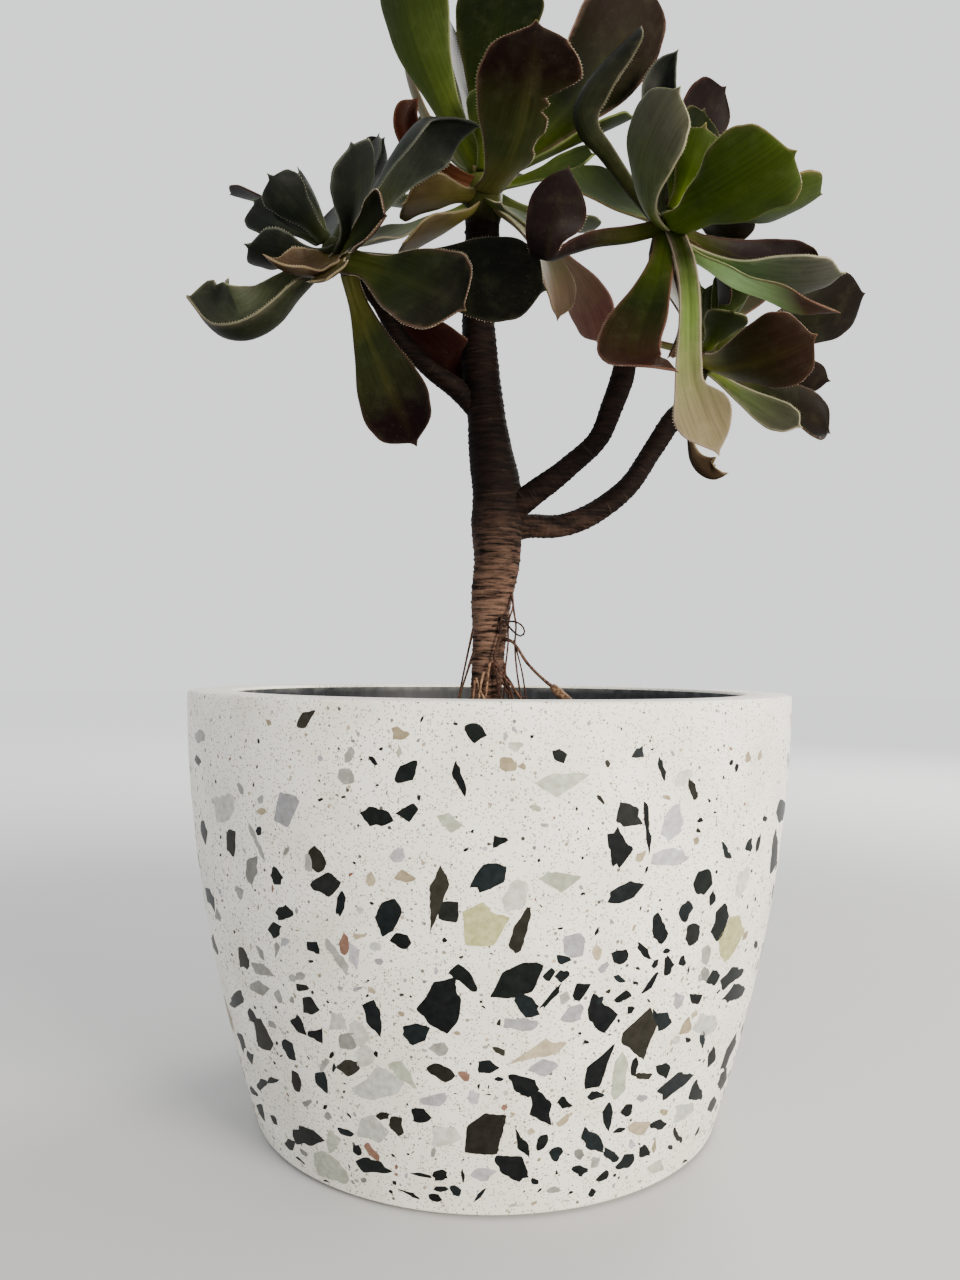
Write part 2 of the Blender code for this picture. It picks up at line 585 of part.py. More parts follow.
def traced_frames(leaf):
    """Place, facing, sideways direction and course at each knot of a traced leaf."""
    spots = [Vector(knot[:3]) for knot in leaf.knots]
    last = len(spots) - 1
    courses = [(spots[min(number + 1, last)] - spots[max(number - 1, 0)]).normalized()
               for number in range(last + 1)]
    facings = [Vector()] * (last + 1)
    for order in (range(leaf.face_knot, last + 1), range(leaf.face_knot, -1, -1)):
        facing = Vector(leaf.face)
        for number in order:
            facing = (facing - courses[number] * facing.dot(courses[number])).normalized()
            facings[number] = facing
    return [(spot, facing, course.cross(facing), course)
            for spot, facing, course in zip(spots, facings, courses)]


def traced_sections(leaf):
    """Sections of a traced leaf: each lane's place, outward direction and share across."""
    cup = math.radians(leaf.cup)
    frames = traced_frames(leaf)
    steps = [0.0, *((after[0] - before[0]).length for before, after in zip(frames, frames[1:]))]
    total = sum(steps)
    for number, (spot, facing, side, course) in enumerate(frames):
        share = sum(steps[:number + 1]) / total
        section = []
        for lane in range(TRACED_LANES):
            across = 2 * lane / (TRACED_LANES - 1) - 1
            half, fold = leaf.knots[number][3:5] if across > 0 else leaf.knots[number][5:7]
            fold = math.radians(fold) if across else 0.0
            sign = math.copysign(1.0, across)
            reach, chord = half * abs(across), fold + cup * abs(across) / 2
            place = spot + side * (sign * reach * math.cos(chord)) + facing * (reach * math.sin(chord))
            place += course * (leaf.splay * (share - 0.5) * reach)
            turn = sign * (fold + cup * abs(across))
            section.append((place, facing * math.cos(turn) - side * math.sin(turn), across))
        yield share, section


def plain_sections(head, leaf):
    """Sections of a plainly bent leaf, in the same form."""
    lanes = 5 if leaf.cup > DEEP_CUP else 3
    cup = math.radians(leaf.cup)
    stations = [share ** (1 / leaf.neck) for share, _ in LEAF_OUTLINE]
    for (spot, facing, side), (share, spread) in zip(leaf_frames(head, leaf, stations), LEAF_OUTLINE):
        half = leaf.width / 2 * spread
        section = []
        for lane in range(lanes):
            across = 2 * lane / (lanes - 1) - 1
            turn = across * cup
            place = spot + side * (half * math.sin(turn) / cup) + facing * (half * (1 - math.cos(turn)) / cup)
            section.append((place, facing * math.cos(turn) - side * math.sin(turn), across))
        yield share, section


def leaf_object(name, head, leaf, collection):
    """One closed leaf: a loft of curved sections, split into triangles alike on both faces."""
    upper, lower = [], []
    bm = bmesh.new()
    for share, section in traced_sections(leaf) if isinstance(leaf, Traced) else plain_sections(head, leaf):
        middle = LEAF_THICK_ROOT + (LEAF_THICK_TIP - LEAF_THICK_ROOT) * share
        above, below = [], []
        for place, out, across in section:
            thick = LEAF_THICK_EDGE + (middle - LEAF_THICK_EDGE) * (1 - abs(across))
            above.append(bm.verts.new((place + out * (thick / 2)) * MM))
            below.append(bm.verts.new((place - out * (thick / 2)) * MM))
        upper.append(above)
        lower.append(below)
    lanes = len(upper[0])
    for row, next_row in [*zip(upper, upper[1:]), *zip(lower, lower[1:])]:
        for lane in range(lanes - 1):
            left = lane < (lanes - 1) / 2
            a, b, c, d = row[lane], row[lane + 1], next_row[lane + 1], next_row[lane]
            for corners in ((a, b, c), (a, c, d)) if left else ((a, b, d), (b, c, d)):
                bm.faces.new(corners)
    for number in range(len(upper) - 1):
        for lane in (0, lanes - 1):
            ends = (upper[number][lane], lower[number][lane],
                    lower[number + 1][lane], upper[number + 1][lane])
            bm.faces.new((ends[0], ends[1], ends[2]))
            bm.faces.new((ends[0], ends[2], ends[3]))
    for above, below in ((upper[0], lower[0]), (upper[-1], lower[-1])):
        for lane in range(lanes - 1):
            bm.faces.new((above[lane], above[lane + 1], below[lane + 1], below[lane]))
    return mesh_object(name, bm, collection)


def spiral_direction(axis, spin, tilt):
    """A direction turned by the spin about a head's axis and tilted away from it."""
    level = axis.orthogonal().normalized()
    return lean(lean(axis, axis.cross(level), math.radians(tilt)), axis, math.radians(spin))


def too_near(along, others, clear):
    """Whether a direction lies within an angle of any of the others."""
    return any(along.angle(other) < math.radians(clear) for other in others)


def spiral_leaves(head):
    """Leaves along the head's golden-angle spiral: the far side's, and the young ones in the middle."""
    draw = random.Random(head.seed)
    axis = Vector(head.axis).normalized()
    placed = [leaf_direction(leaf) for leaf in head.leaves]
    added = []
    for number in range(SPIRAL_TURNS):
        spin = GOLDEN_ANGLE * number + draw.uniform(-SPIRAL_STRAY, SPIRAL_STRAY)
        tilt = SPIRAL_TILT[0] + (SPIRAL_TILT[1] - SPIRAL_TILT[0]) * number / SPIRAL_TURNS
        length, width, bend = (draw.uniform(*ends) for ends in (SPIRAL_LENGTH, SPIRAL_WIDTH, SPIRAL_BEND))
        along = spiral_direction(axis, spin, tilt)
        if along.y > FAR_SIDE and not too_near(along, placed, SPIRAL_CLEAR):
            placed.append(along)
            added.append(turned_to(along, length, width, bend, SPIRAL_CUP))
    for number in range(YOUNG_LEAVES):
        tilt, length, width = (first + more * number
                               for first, more in (YOUNG_TILT, YOUNG_LENGTH, YOUNG_WIDTH))
        along = spiral_direction(axis, GOLDEN_ANGLE * number + YOUNG_START, tilt)
        if not too_near(along, placed, YOUNG_CLEAR):
            added.append(turned_to(along, length, width, YOUNG_BEND, YOUNG_CUP))
    return added


def leaf_direction(leaf):
    """The direction in which a leaf leaves its core."""
    if isinstance(leaf, Traced):
        return (Vector(leaf.knots[1][:3]) - Vector(leaf.knots[0][:3])).normalized()
    bearing, lift = math.radians(leaf.bearing), math.radians(leaf.lift)
    return Vector((math.cos(lift) * math.cos(bearing), math.cos(lift) * math.sin(bearing), math.sin(lift)))


def turned_to(along, length, width, bend, cup):
    """A leaf that leaves its core in the given direction."""
    bearing = math.degrees(math.atan2(along.y, along.x))
    lift = math.degrees(math.asin(max(-1.0, min(1.0, along.z))))
    return Leaf(bearing, lift, length, width, bend=bend, cup=cup)


def add_head(name, head, collection):
    """One leaf head: a short green core with its leaves sunk into it, joined as one solid."""
    green = material(f"leaves_{name}", head.colour, 0.4)
    joined = new_collection(f"leaves_{name}")
    axis = Vector(head.axis).normalized()
    radius = head.stalk + CORE_SWELL
    levels = ((-CORE_BELOW, head.stalk - CORE_INSET), (-CORE_BELOW / 2, radius),
              (CORE_ABOVE / 2, radius), (CORE_ABOVE, radius / 2))
    core = tube(f"head_{name}", [Vector(head.centre) + axis * level for level, _ in levels],
                [radius for _, radius in levels], STEM_SIDES["branch"], collection)
    core.data.materials.append(green)
    for number, leaf in enumerate([*head.leaves, *spiral_leaves(head)]):
        leaf_object(f"leaf_{name}_{number}", head, leaf, joined)
    union_all(core, joined)
    bpy.data.collections.remove(joined)
    core.data.set_sharp_from_angle(angle=math.radians(LEAF_CREASE))
    return core


def main():
    """Build every piece of the potted plant."""
    clear_scene()
    plant = new_collection("potted_succulent")
    cutters = new_collection("cutters")
    add_pot(plant, cutters)
    add_soil(plant, cutters)
    add_stem(plant)
    for name, head in HEADS.items():
        add_head(name, head, plant)


if __name__ == "__main__":
    main()
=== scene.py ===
"""Looks of a potted tree aeonium: finer leaves, scarred stems, loose potting mix and marble-chip stone.

Lengths are millimetres until MM turns them into metres, and angles are degrees. The origin is the middle
of the pot's foot, +Z is up, and the front of the plant faces -Y.
"""

import logging
import math
import random
from dataclasses import dataclass, field
from enum import Enum

import bmesh
import bpy
import numpy as np
from mathutils import Matrix, Quaternion, Vector


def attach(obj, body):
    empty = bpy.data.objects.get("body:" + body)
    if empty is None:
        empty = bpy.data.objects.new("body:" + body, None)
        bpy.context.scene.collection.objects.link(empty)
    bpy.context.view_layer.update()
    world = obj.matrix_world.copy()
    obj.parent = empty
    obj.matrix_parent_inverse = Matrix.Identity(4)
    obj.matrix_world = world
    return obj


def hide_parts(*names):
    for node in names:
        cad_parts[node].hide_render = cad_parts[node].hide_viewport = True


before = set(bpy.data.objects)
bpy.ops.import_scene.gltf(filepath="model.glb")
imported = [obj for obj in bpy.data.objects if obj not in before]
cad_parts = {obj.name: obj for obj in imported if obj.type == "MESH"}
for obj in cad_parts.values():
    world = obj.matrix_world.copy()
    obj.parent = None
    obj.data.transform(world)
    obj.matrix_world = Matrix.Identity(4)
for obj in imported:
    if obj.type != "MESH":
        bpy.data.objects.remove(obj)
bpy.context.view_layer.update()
LOG = logging.getLogger("potted_succulent")
MM = 0.001
BODY = "root"
GOLDEN_ANGLE = 137.5


# Small tools


def linear(code: str) -> tuple[float, ...]:
    """Turn an sRGB hex colour into linear values.

    Args:
        code: a hash sign and six hex digits.

    Returns:
        Red, green, blue and an alpha of one.
    """
    parts = [int(code[place:place + 2], 16) / 255 for place in (1, 3, 5)]
    return (*(part / 12.92 if part <= 0.04045 else ((part + 0.055) / 1.055) ** 2.4 for part in parts), 1.0)


def per_metre(size: float) -> float:
    """Texture scale that gives a pattern of the given size in millimetres."""
    return 1 / (size * MM)


class Node(Enum):
    """Kinds of node in use: Blender's name, the inputs that values go to, the output taken, its settings."""
    PLACE = "ShaderNodeTexCoord", (), "Object"
    COLOUR_OF = "ShaderNodeAttribute", (), "Color"
    NUMBER_OF = "ShaderNodeAttribute", (), "Fac"
    FLAT_MAP = "ShaderNodeUVMap", ()
    NOISE = "ShaderNodeTexNoise", ("Vector", "Scale", "Detail", "Roughness")
    CELLS = "ShaderNodeTexVoronoi", ("Vector", "Scale"), "Distance"
    CHANNELS = "ShaderNodeSeparateColor"
    HEIGHT = "ShaderNodeSeparateXYZ", (0,), "Z"
    STRETCHED = "ShaderNodeVectorMath", (0, 1), 0, {"operation": 'MULTIPLY'}
    SHIFTED = "ShaderNodeVectorMath", (0, 1), 0, {"operation": 'SUBTRACT'}
    DISTANCE = "ShaderNodeVectorMath", (0,), "Value", {"operation": 'LENGTH'}
    MIX = "ShaderNodeMix", (0, 6, 7), 2, {"data_type": 'RGBA'}
    STEPS = "ShaderNodeValToRGB"
    RANGE = "ShaderNodeMapRange", (0, 1, 2, 3, 4), 0, {"interpolation_type": 'SMOOTHSTEP'}
    RELIEF = "ShaderNodeBump", ("Height", "Strength", "Distance")
    TIMES = "ShaderNodeMath", (0, 1), 0, {"operation": 'MULTIPLY'}
    TIMES_PLUS = "ShaderNodeMath", (0, 1, 2), 0, {"operation": 'MULTIPLY_ADD'}
    PLUS = "ShaderNodeMath", (0, 1), 0, {"operation": 'ADD'}
    MINUS = "ShaderNodeMath", (0, 1), 0, {"operation": 'SUBTRACT'}
    OVER = "ShaderNodeMath", (0, 1), 0, {"operation": 'DIVIDE'}
    POWER = "ShaderNodeMath", (0, 1), 0, {"operation": 'POWER'}
    BELOW = "ShaderNodeMath", (0, 1), 0, {"operation": 'LESS_THAN'}
    ABOVE = "ShaderNodeMath", (0, 1), 0, {"operation": 'GREATER_THAN'}
    START = "NodeGroupInput", ()
    SCATTER = "GeometryNodeDistributePointsOnFaces", ("Mesh", "Density", "Seed")
    BALL = "GeometryNodeMeshIcoSphere", ("Radius", "Subdivisions")
    SPIKE = ("GeometryNodeMeshCone", ("Vertices", "Radius Top", "Radius Bottom", "Depth"), 0,
             {"fill_type": 'NGON'})
    MOVED = "GeometryNodeSetPosition", ("Geometry", "Offset")
    CHANCE = "FunctionNodeRandomValue", (2, 3, "Seed"), 1, {"data_type": 'FLOAT'}
    ANY_TURN = "FunctionNodeRandomValue", (1, "Seed"), 0, {"data_type": 'FLOAT_VECTOR'}
    THREE = "ShaderNodeCombineXYZ", (0, 1, 2)
    LINE = "GeometryNodeMeshToCurve"
    SPACED = "GeometryNodeResampleCurve", ("Curve", "Length"), 0, {"mode": 'LENGTH'}
    VECTOR_OF = "GeometryNodeInputNamedAttribute", ("Name",), 0, {"data_type": 'FLOAT_VECTOR'}
    AIMED = "FunctionNodeAlignRotationToVector", ("Vector",), 0, {"axis": 'Z'}
    PLACED = "GeometryNodeInstanceOnPoints", ("Points", "Instance", "Rotation", "Scale")
    KEPT = ("GeometryNodeStoreNamedAttribute", ("Geometry", "Name", "Value"), 0,
            {"data_type": 'FLOAT', "domain": 'INSTANCE'})
    REAL = "GeometryNodeRealizeInstances"
    DRESSED = "GeometryNodeSetMaterial", (0, "Material")
    END = "NodeGroupOutput"

    def __init__(self, kind: str, inputs: tuple[int | str, ...] = (0,), output: int | str = 0,
                 settings: dict[str, str] | None = None) -> None:
        """Keep what a node of this kind starts from.

        Args:
            kind: Blender's name for the node's type.
            inputs: the sockets that values go to, in turn.
            output: the socket that is taken from it.
            settings: the node's own properties.
        """
        self.kind, self.inputs, self.output, self.settings = kind, inputs, output, settings or {}


def feed(tree: bpy.types.NodeTree, socket: bpy.types.NodeSocket, value: object) -> None:
    """Give an input what it needs.

    Args:
        tree: the node tree.
        socket: the input.
        value: the output socket that feeds it, a hex colour, or its value.
    """
    if isinstance(value, bpy.types.NodeSocket):
        tree.links.new(value, socket)
    else:
        socket.default_value = linear(value) if str(value).startswith("#") else value


def put(tree: bpy.types.NodeTree, node: Node, *values: object, stops: tuple = (),
        **settings: object) -> bpy.types.NodeSocket | None:
    """Add a node with its settings and links.

    Args:
        tree: the node tree it goes into.
        node: its kind.
        *values: what each of the kind's inputs is given, in turn; None leaves it as it is.
        stops: for a colour ramp, its (position, hex colour) stops.
        **settings: properties besides those of the kind.

    Returns:
        The output that the kind names, where it has one; the others are reached through its node.
    """
    made = tree.nodes.new(node.kind)
    for name, value in {**node.settings, **settings}.items():
        setattr(made, name, value)
    for number, (position, code) in enumerate(stops):
        if number >= 2:
            made.color_ramp.elements.new(position)
        made.color_ramp.elements[number].position = position
        made.color_ramp.elements[number].color = linear(code)
    for name, value in zip(node.inputs, values):
        if value is not None:
            feed(tree, made.inputs[name], value)
    return made.outputs[node.output] if made.outputs else None


def flow(shares: np.ndarray, values: np.ndarray, at: np.ndarray) -> np.ndarray:
    """Interpolate smoothly through given values.

    Args:
        shares: rising positions of the known values.
        values: the known values, one row for each position.
        at: positions to find values for.

    Returns:
        One row of values for each wanted position.
    """
    values = np.asarray(values, float).reshape(len(shares), -1)
    slopes = np.gradient(values, shares, axis=0)
    place = np.clip(np.searchsorted(shares, at, side="right") - 1, 0, len(shares) - 2)
    gap = (shares[place + 1] - shares[place])[:, None]
    t = (at - shares[place])[:, None] / gap
    return ((2 * t ** 3 - 3 * t ** 2 + 1) * values[place] + (t ** 3 - 2 * t ** 2 + t) * gap * slopes[place]
            + (3 * t ** 2 - 2 * t ** 3) * values[place + 1] + (t ** 3 - t ** 2) * gap * slopes[place + 1])


def unit(vectors: np.ndarray) -> np.ndarray:
    """Scale each row to length one."""
    return vectors / np.linalg.norm(vectors, axis=-1, keepdims=True)


def way_along(points: np.ndarray) -> np.ndarray:
    """How far along a course each of its points lies."""
    return np.concatenate([[0.0], np.cumsum(np.linalg.norm(np.diff(points[:, :3], axis=0), axis=1))])


def spread(vectors: np.ndarray, shares: np.ndarray) -> np.ndarray:
    """Scale the one vector of each ring by the share of each of the ring's points."""
    return vectors[:, None, :] * shares[:, :, None]


def round_turns(sides: int) -> np.ndarray:
    """Evenly spaced directions of one full turn, in radians."""
    return np.linspace(0, math.tau, sides, endpoint=False)


def ring(radius: float, height: float, sides: int) -> np.ndarray:
    """Points of a level ring about the pot's axis."""
    turns = round_turns(sides)
    return np.stack([radius * np.cos(turns), radius * np.sin(turns), np.full(sides, float(height))], axis=1)


def ring_faces(rings: int, sides: int, capped: bool = True) -> list[tuple[int, ...]]:
    """Faces of a tube whose points come ring after ring.

    Args:
        rings: how many rings it has.
        sides: how many points a ring has.
        capped: whether both ends are closed.

    Returns:
        The faces.
    """
    faces = []
    for low in range(0, (rings - 1) * sides, sides):
        for side in range(sides):
            other = (side + 1) % sides
            faces.append((low + side, low + other, low + sides + other, low + sides + side))
    if capped:
        faces.append(tuple(reversed(range(sides))))
        faces.append(tuple(range((rings - 1) * sides, rings * sides)))
    return faces


def tube(rows: np.ndarray, sides: int, relief: np.ndarray | float = 0.0) -> np.ndarray:
    """Sweep a ring along a course, with no twist between one ring and the next.

    Args:
        rows: the course, each row with a point and a radius.
        sides: points in a ring.
        relief: what is added to the radius, for each ring and side.

    Returns:
        The points, ring after ring.
    """
    ahead = unit(np.gradient(rows[:, :3], axis=0))
    first = np.zeros_like(ahead)
    start = np.array((1.0, 0.0, 0.0)) if abs(ahead[0, 0]) < 0.8 else np.array((0.0, 1.0, 0.0))
    for number, direction in enumerate(ahead):
        start = start - direction * (start @ direction)
        start = start / np.linalg.norm(start)
        first[number] = start
    turns = round_turns(sides)[None, :]
    around = spread(first, np.cos(turns)) + spread(np.cross(ahead, first), np.sin(turns))
    radius = np.broadcast_to(rows[:, 3:4] + relief, (len(rows), sides))
    return (rows[:, None, :3] + around * radius[:, :, None]).reshape(-1, 3)


def show(name: str, data: bpy.types.ID, finishes: tuple["Finish", ...] = ()) -> bpy.types.Object:
    """Link data to the scene as a named object.

    Args:
        name: the object's name.
        data: its mesh, light or camera.
        finishes: the finish of each material slot.

    Returns:
        The object.
    """
    for finish in finishes:
        data.materials.append(finish.material())
    made = bpy.data.objects.new(name, data)
    bpy.context.scene.collection.objects.link(made)
    return made


def evaluated(piece: bpy.types.Object) -> bpy.types.Mesh:
    """A plain mesh of an object with its modifiers applied."""
    bpy.context.view_layer.update()
    depsgraph = bpy.context.evaluated_depsgraph_get()
    return bpy.data.meshes.new_from_object(piece.evaluated_get(depsgraph), depsgraph=depsgraph)


def settle(piece: bpy.types.Object, node: str) -> None:
    """Attach a finished piece to the body it rides on, and hide the frame's node that it stands for.

    Args:
        piece: the finished piece.
        node: the node of the frame that it replaces.
    """
    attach(piece, BODY)
    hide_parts(node)
    LOG.info("%s: %d faces, stands for %s", piece.name, len(piece.data.polygons), node)


@dataclass
class Skin:
    """Points, faces and per-point attributes of a mesh that is being gathered."""
    points: list[np.ndarray] = field(default_factory=list)
    faces: list[tuple[int, ...]] = field(default_factory=list)
    colours: dict[str, list[np.ndarray]] = field(default_factory=dict)
    numbers: dict[str, list[np.ndarray]] = field(default_factory=dict)
    flat: list[np.ndarray] = field(default_factory=list)
    count: int = 0

    def add(self, points: np.ndarray, faces: list[tuple[int, ...]],
            colours: dict[str, np.ndarray] | None = None, numbers: dict[str, np.ndarray] | None = None,
            flat: np.ndarray | None = None) -> None:
        """Take in one more shape.

        Args:
            points: its points in millimetres.
            faces: its faces, numbered from its own first point.
            colours: its colour attributes, one RGBA row a point.
            numbers: its number attributes, one a point.
            flat: its flat coordinates, one pair a point.
        """
        self.points.append(np.asarray(points, float) * MM)
        self.faces += [tuple(corner + self.count for corner in face) for face in faces]
        self.count += len(points)
        for gathered, given in ((self.colours, colours), (self.numbers, numbers)):
            for name, rows in (given or {}).items():
                gathered.setdefault(name, []).append(rows)
        if flat is not None:
            self.flat.append(flat)

    def piece(self, name: str, finish: "Finish", turn_out: bool = True) -> bpy.types.Object:
        """Make the object.

        Args:
            name: its name.
            finish: its finish.
            turn_out: whether its closed shells are turned to face out.

        Returns:
            The object, linked to the scene.
        """
        mesh = bpy.data.meshes.new(name)
        mesh.from_pydata(np.concatenate(self.points).tolist(), [], self.faces)
        mesh.polygons.foreach_set("use_smooth", [True] * len(self.faces))
        for title, rows in self.colours.items():
            layer = mesh.color_attributes.new(title, 'FLOAT_COLOR', 'POINT')
            layer.data.foreach_set("color", np.concatenate(rows).ravel())
        for title, rows in self.numbers.items():
            mesh.attributes.new(title, 'FLOAT', 'POINT').data.foreach_set("value", np.concatenate(rows))
        if self.flat:
            layer = mesh.uv_layers.new(name="blade")
            corners = np.empty(len(mesh.loops), int)
            mesh.loops.foreach_get("vertex_index", corners)
            layer.data.foreach_set("uv", np.concatenate(self.flat)[corners].ravel())
        if turn_out:
            shell = bmesh.new()
            shell.from_mesh(mesh)
            bmesh.ops.recalc_face_normals(shell, faces=shell.faces)
            shell.to_mesh(mesh)
            shell.free()
        return show(name, mesh, (finish,))


@dataclass
class GrownTree:
    """A geometry tree with named inputs, which turns a guide into a finished mesh."""
    name: str
    inputs: dict[str, str]

    def __post_init__(self) -> None:
        """Start the tree with its named inputs."""
        self.tree = bpy.data.node_groups.new(self.name, 'GeometryNodeTree')
        for title, kind in {"Geometry": "Geometry", **self.inputs, "Finish": "Material"}.items():
            self.tree.interface.new_socket(title, in_out='INPUT', socket_type="NodeSocket" + kind)
        self.tree.interface.new_socket("Geometry", in_out='OUTPUT', socket_type='NodeSocketGeometry')
        entry = put(self.tree, Node.START).node
        self.given = {socket.name: socket for socket in entry.outputs if socket.name}

    def put(self, node: Node, *values: object) -> bpy.types.NodeSocket:
        """Add a node, with a named input of the tree wherever a value is its name."""
        return put(self.tree, node, *(self.given.get(value, value) if isinstance(value, str) else value
                                      for value in values))

    def close(self, instances: bpy.types.NodeSocket) -> None:
        """End the tree with real geometry in its material."""
        self.put(Node.END, self.put(Node.DRESSED, self.put(Node.REAL, instances), "Finish"))

    def grow(self, guide: bpy.types.Object, sizes: dict[str, object], name: str) -> bpy.types.Object:
        """Run the tree on a guide and keep its result as a plain mesh.

        Args:
            guide: the object that the tree starts from, which is removed afterwards.
            sizes: a value for each of the tree's named inputs.
            name: the name of the result.

        Returns:
            The new object.
        """
        modifier = guide.modifiers.new("Grow", 'NODES')
        modifier.node_group = self.tree
        for item in self.tree.interface.items_tree:
            if item.item_type == 'SOCKET' and item.in_out == 'INPUT' and item.name in sizes:
                modifier[item.identifier] = sizes[item.name]
        mesh = evaluated(guide)
        mesh.name = name
        guide.modifiers.remove(modifier)
        bpy.data.objects.remove(guide, do_unlink=True)
        return show(name, mesh)


# Finishes


@dataclass(frozen=True)
class Finish:
    """What every finish has: a name and typical values for its real material."""
    name: str
    roughness: float = 0.5
    ior: float = 1.5
    gloss: float = 0.5

    def material(self) -> bpy.types.Material:
        """Return the material, which is made once."""
        return bpy.data.materials.get(self.name) or self.make()

    def make(self) -> bpy.types.Material:
        """Build the material from its shader and its pattern.

        Returns:
            The material.
        """
        made = bpy.data.materials.new(self.name)
        made.use_nodes = True
        tree = made.node_tree
        shader = tree.nodes["Principled BSDF"]
        for name, value in {"Roughness": self.roughness, "IOR": self.ior, "Specular IOR Level": self.gloss,
                            **self.paint(tree)}.items():
            feed(tree, shader.inputs[name], value)
        return made

    def paint(self, tree: bpy.types.NodeTree) -> dict[str, object]:
        """Add the pattern, and return what it gives to the shader's inputs: each finish has its own."""
        raise NotImplementedError


@dataclass(frozen=True)
class Grain:
    """One size of grit seen in the ground face: its cell, how much of a cell it fills, and how many show."""
    cell: float
    reach: float
    share: float
    tones: tuple[tuple[float, str], ...]


@dataclass(frozen=True)
class CastStone(Finish):
    """White cement terrazzo, cast and ground: creamy, fine grit all over, pinholes, a soft gloss."""
    binder: str = "#e4e1d6"
    cloud: str = "#d8d4c7"
    cloud_size: float = 22.0
    grains: tuple[Grain, ...] = (
        Grain(0.75, 0.36, 0.42, ((0.0, "#787063"), (0.6, "#a0978a"), (1.0, "#bbb09a"))),
        Grain(1.5, 0.26, 0.26, ((0.0, "#4d483f"), (0.5, "#8d867a"), (1.0, "#bab3a6"))),
        Grain(3.4, 0.18, 0.26, ((0.0, "#292622"), (0.4, "#77726a"), (1.0, "#ab9a80"))),
    )
    pit_shade: str = "#4f4a40"
    pit_cell: float = 4.0
    pit_reach: float = 0.1
    pit_depth: float = 0.25
    fine_size: float = 0.8

    def paint(self, tree: bpy.types.NodeTree) -> dict[str, object]:
        """Grit of several sizes in a clouded binder, with pinholes left by air, darkened inside as painted
        shade.

        Args:
            tree: the material's node tree.

        Returns:
            Its share of the shader's inputs.
        """
        place = put(tree, Node.PLACE)
        cloud = put(tree, Node.NOISE, place, per_metre(self.cloud_size), 4.0)
        colour = put(tree, Node.MIX, put(tree, Node.RANGE, cloud, 0.35, 0.7), self.binder, self.cloud)
        for grain in self.grains:
            near = put(tree, Node.CELLS, place, per_metre(grain.cell))
            own = put(tree, Node.CHANNELS, near.node.outputs["Color"])
            shown = put(tree, Node.TIMES, put(tree, Node.BELOW, near, grain.reach),
                        put(tree, Node.ABOVE, own, 1 - grain.share))
            stone = put(tree, Node.STEPS, own.node.outputs[1], stops=grain.tones)
            colour = put(tree, Node.MIX, shown, colour, stone)
        pit = put(tree, Node.RANGE, put(tree, Node.CELLS, place, per_metre(self.pit_cell)),
                  self.pit_reach * 0.6, self.pit_reach, 1.0, 0.0)
        fine = put(tree, Node.NOISE, place, per_metre(self.fine_size), 2.0)
        height = put(tree, Node.MINUS, put(tree, Node.TIMES, fine, 0.12), pit)
        # The pinholes are darkened as painted shade inside them.
        return {"Base Color": put(tree, Node.MIX, put(tree, Node.TIMES, pit, 0.8), colour, self.pit_shade),
                "Normal": put(tree, Node.RELIEF, height, 0.5, self.pit_depth * MM)}


@dataclass(frozen=True)
class MarbleChip(Finish):
    """Crushed marble and basalt, ground flush and honed: mottled inside, each chip of one stone."""
    shade: str = "#d6d3cc"
    light: str = "#cfc9bb"
    mottle: float = 2.6

    def paint(self, tree: bpy.types.NodeTree) -> dict[str, object]:
        """The chip's own colour with clouds and small flecks.

        Args:
            tree: the material's node tree.

        Returns:
            Its share of the shader's inputs.
        """
        own = put(tree, Node.COLOUR_OF, attribute_name="tint")
        cloud = put(tree, Node.NOISE, put(tree, Node.PLACE), per_metre(self.mottle), 5.0, 0.65)
        dark = put(tree, Node.MIX, 1.0, own, self.shade, blend_type='MULTIPLY')
        return {"Base Color": put(tree, Node.MIX, put(tree, Node.RANGE, cloud, 0.3, 0.72), dark,
                                  put(tree, Node.MIX, 0.006, own, self.light))}


@dataclass(frozen=True)
class SealedInside(Finish):
    """Black bitumen sealing paint, brushed on: dull, streaked, rubbed thin along the top."""
    coat: str = "#1b1d20"
    streak: str = "#2b2e31"
    streak_size: float = 4.0
    worn: str = "#6c6e6c"
    worn_from: float = 167.5
    worn_to: float = 172.0
    worn_patch: float = 7.0
    relief: float = 0.4

    def paint(self, tree: bpy.types.NodeTree) -> dict[str, object]:
        """Upright brush streaks, and a ragged worn band below the rim.

        Args:
            tree: the material's node tree.

        Returns:
            Its share of the shader's inputs.
        """
        place = put(tree, Node.PLACE)
        streak = put(tree, Node.NOISE, put(tree, Node.STRETCHED, place, (1.0, 1.0, 0.12)),
                     per_metre(self.streak_size), 4.0)
        colour = put(tree, Node.MIX, put(tree, Node.RANGE, streak, 0.4, 0.75), self.coat, self.streak)
        band = put(tree, Node.RANGE, put(tree, Node.HEIGHT, place), self.worn_from * MM, self.worn_to * MM)
        patch = put(tree, Node.RANGE, put(tree, Node.NOISE, place, per_metre(self.worn_patch), 5.0), 0.3, 0.7)
        rubbed = put(tree, Node.TIMES, put(tree, Node.TIMES, band, patch), 0.75)
        return {"Base Color": put(tree, Node.MIX, rubbed, colour, self.worn),
                "Normal": put(tree, Node.RELIEF, streak, 0.4, self.relief * MM)}


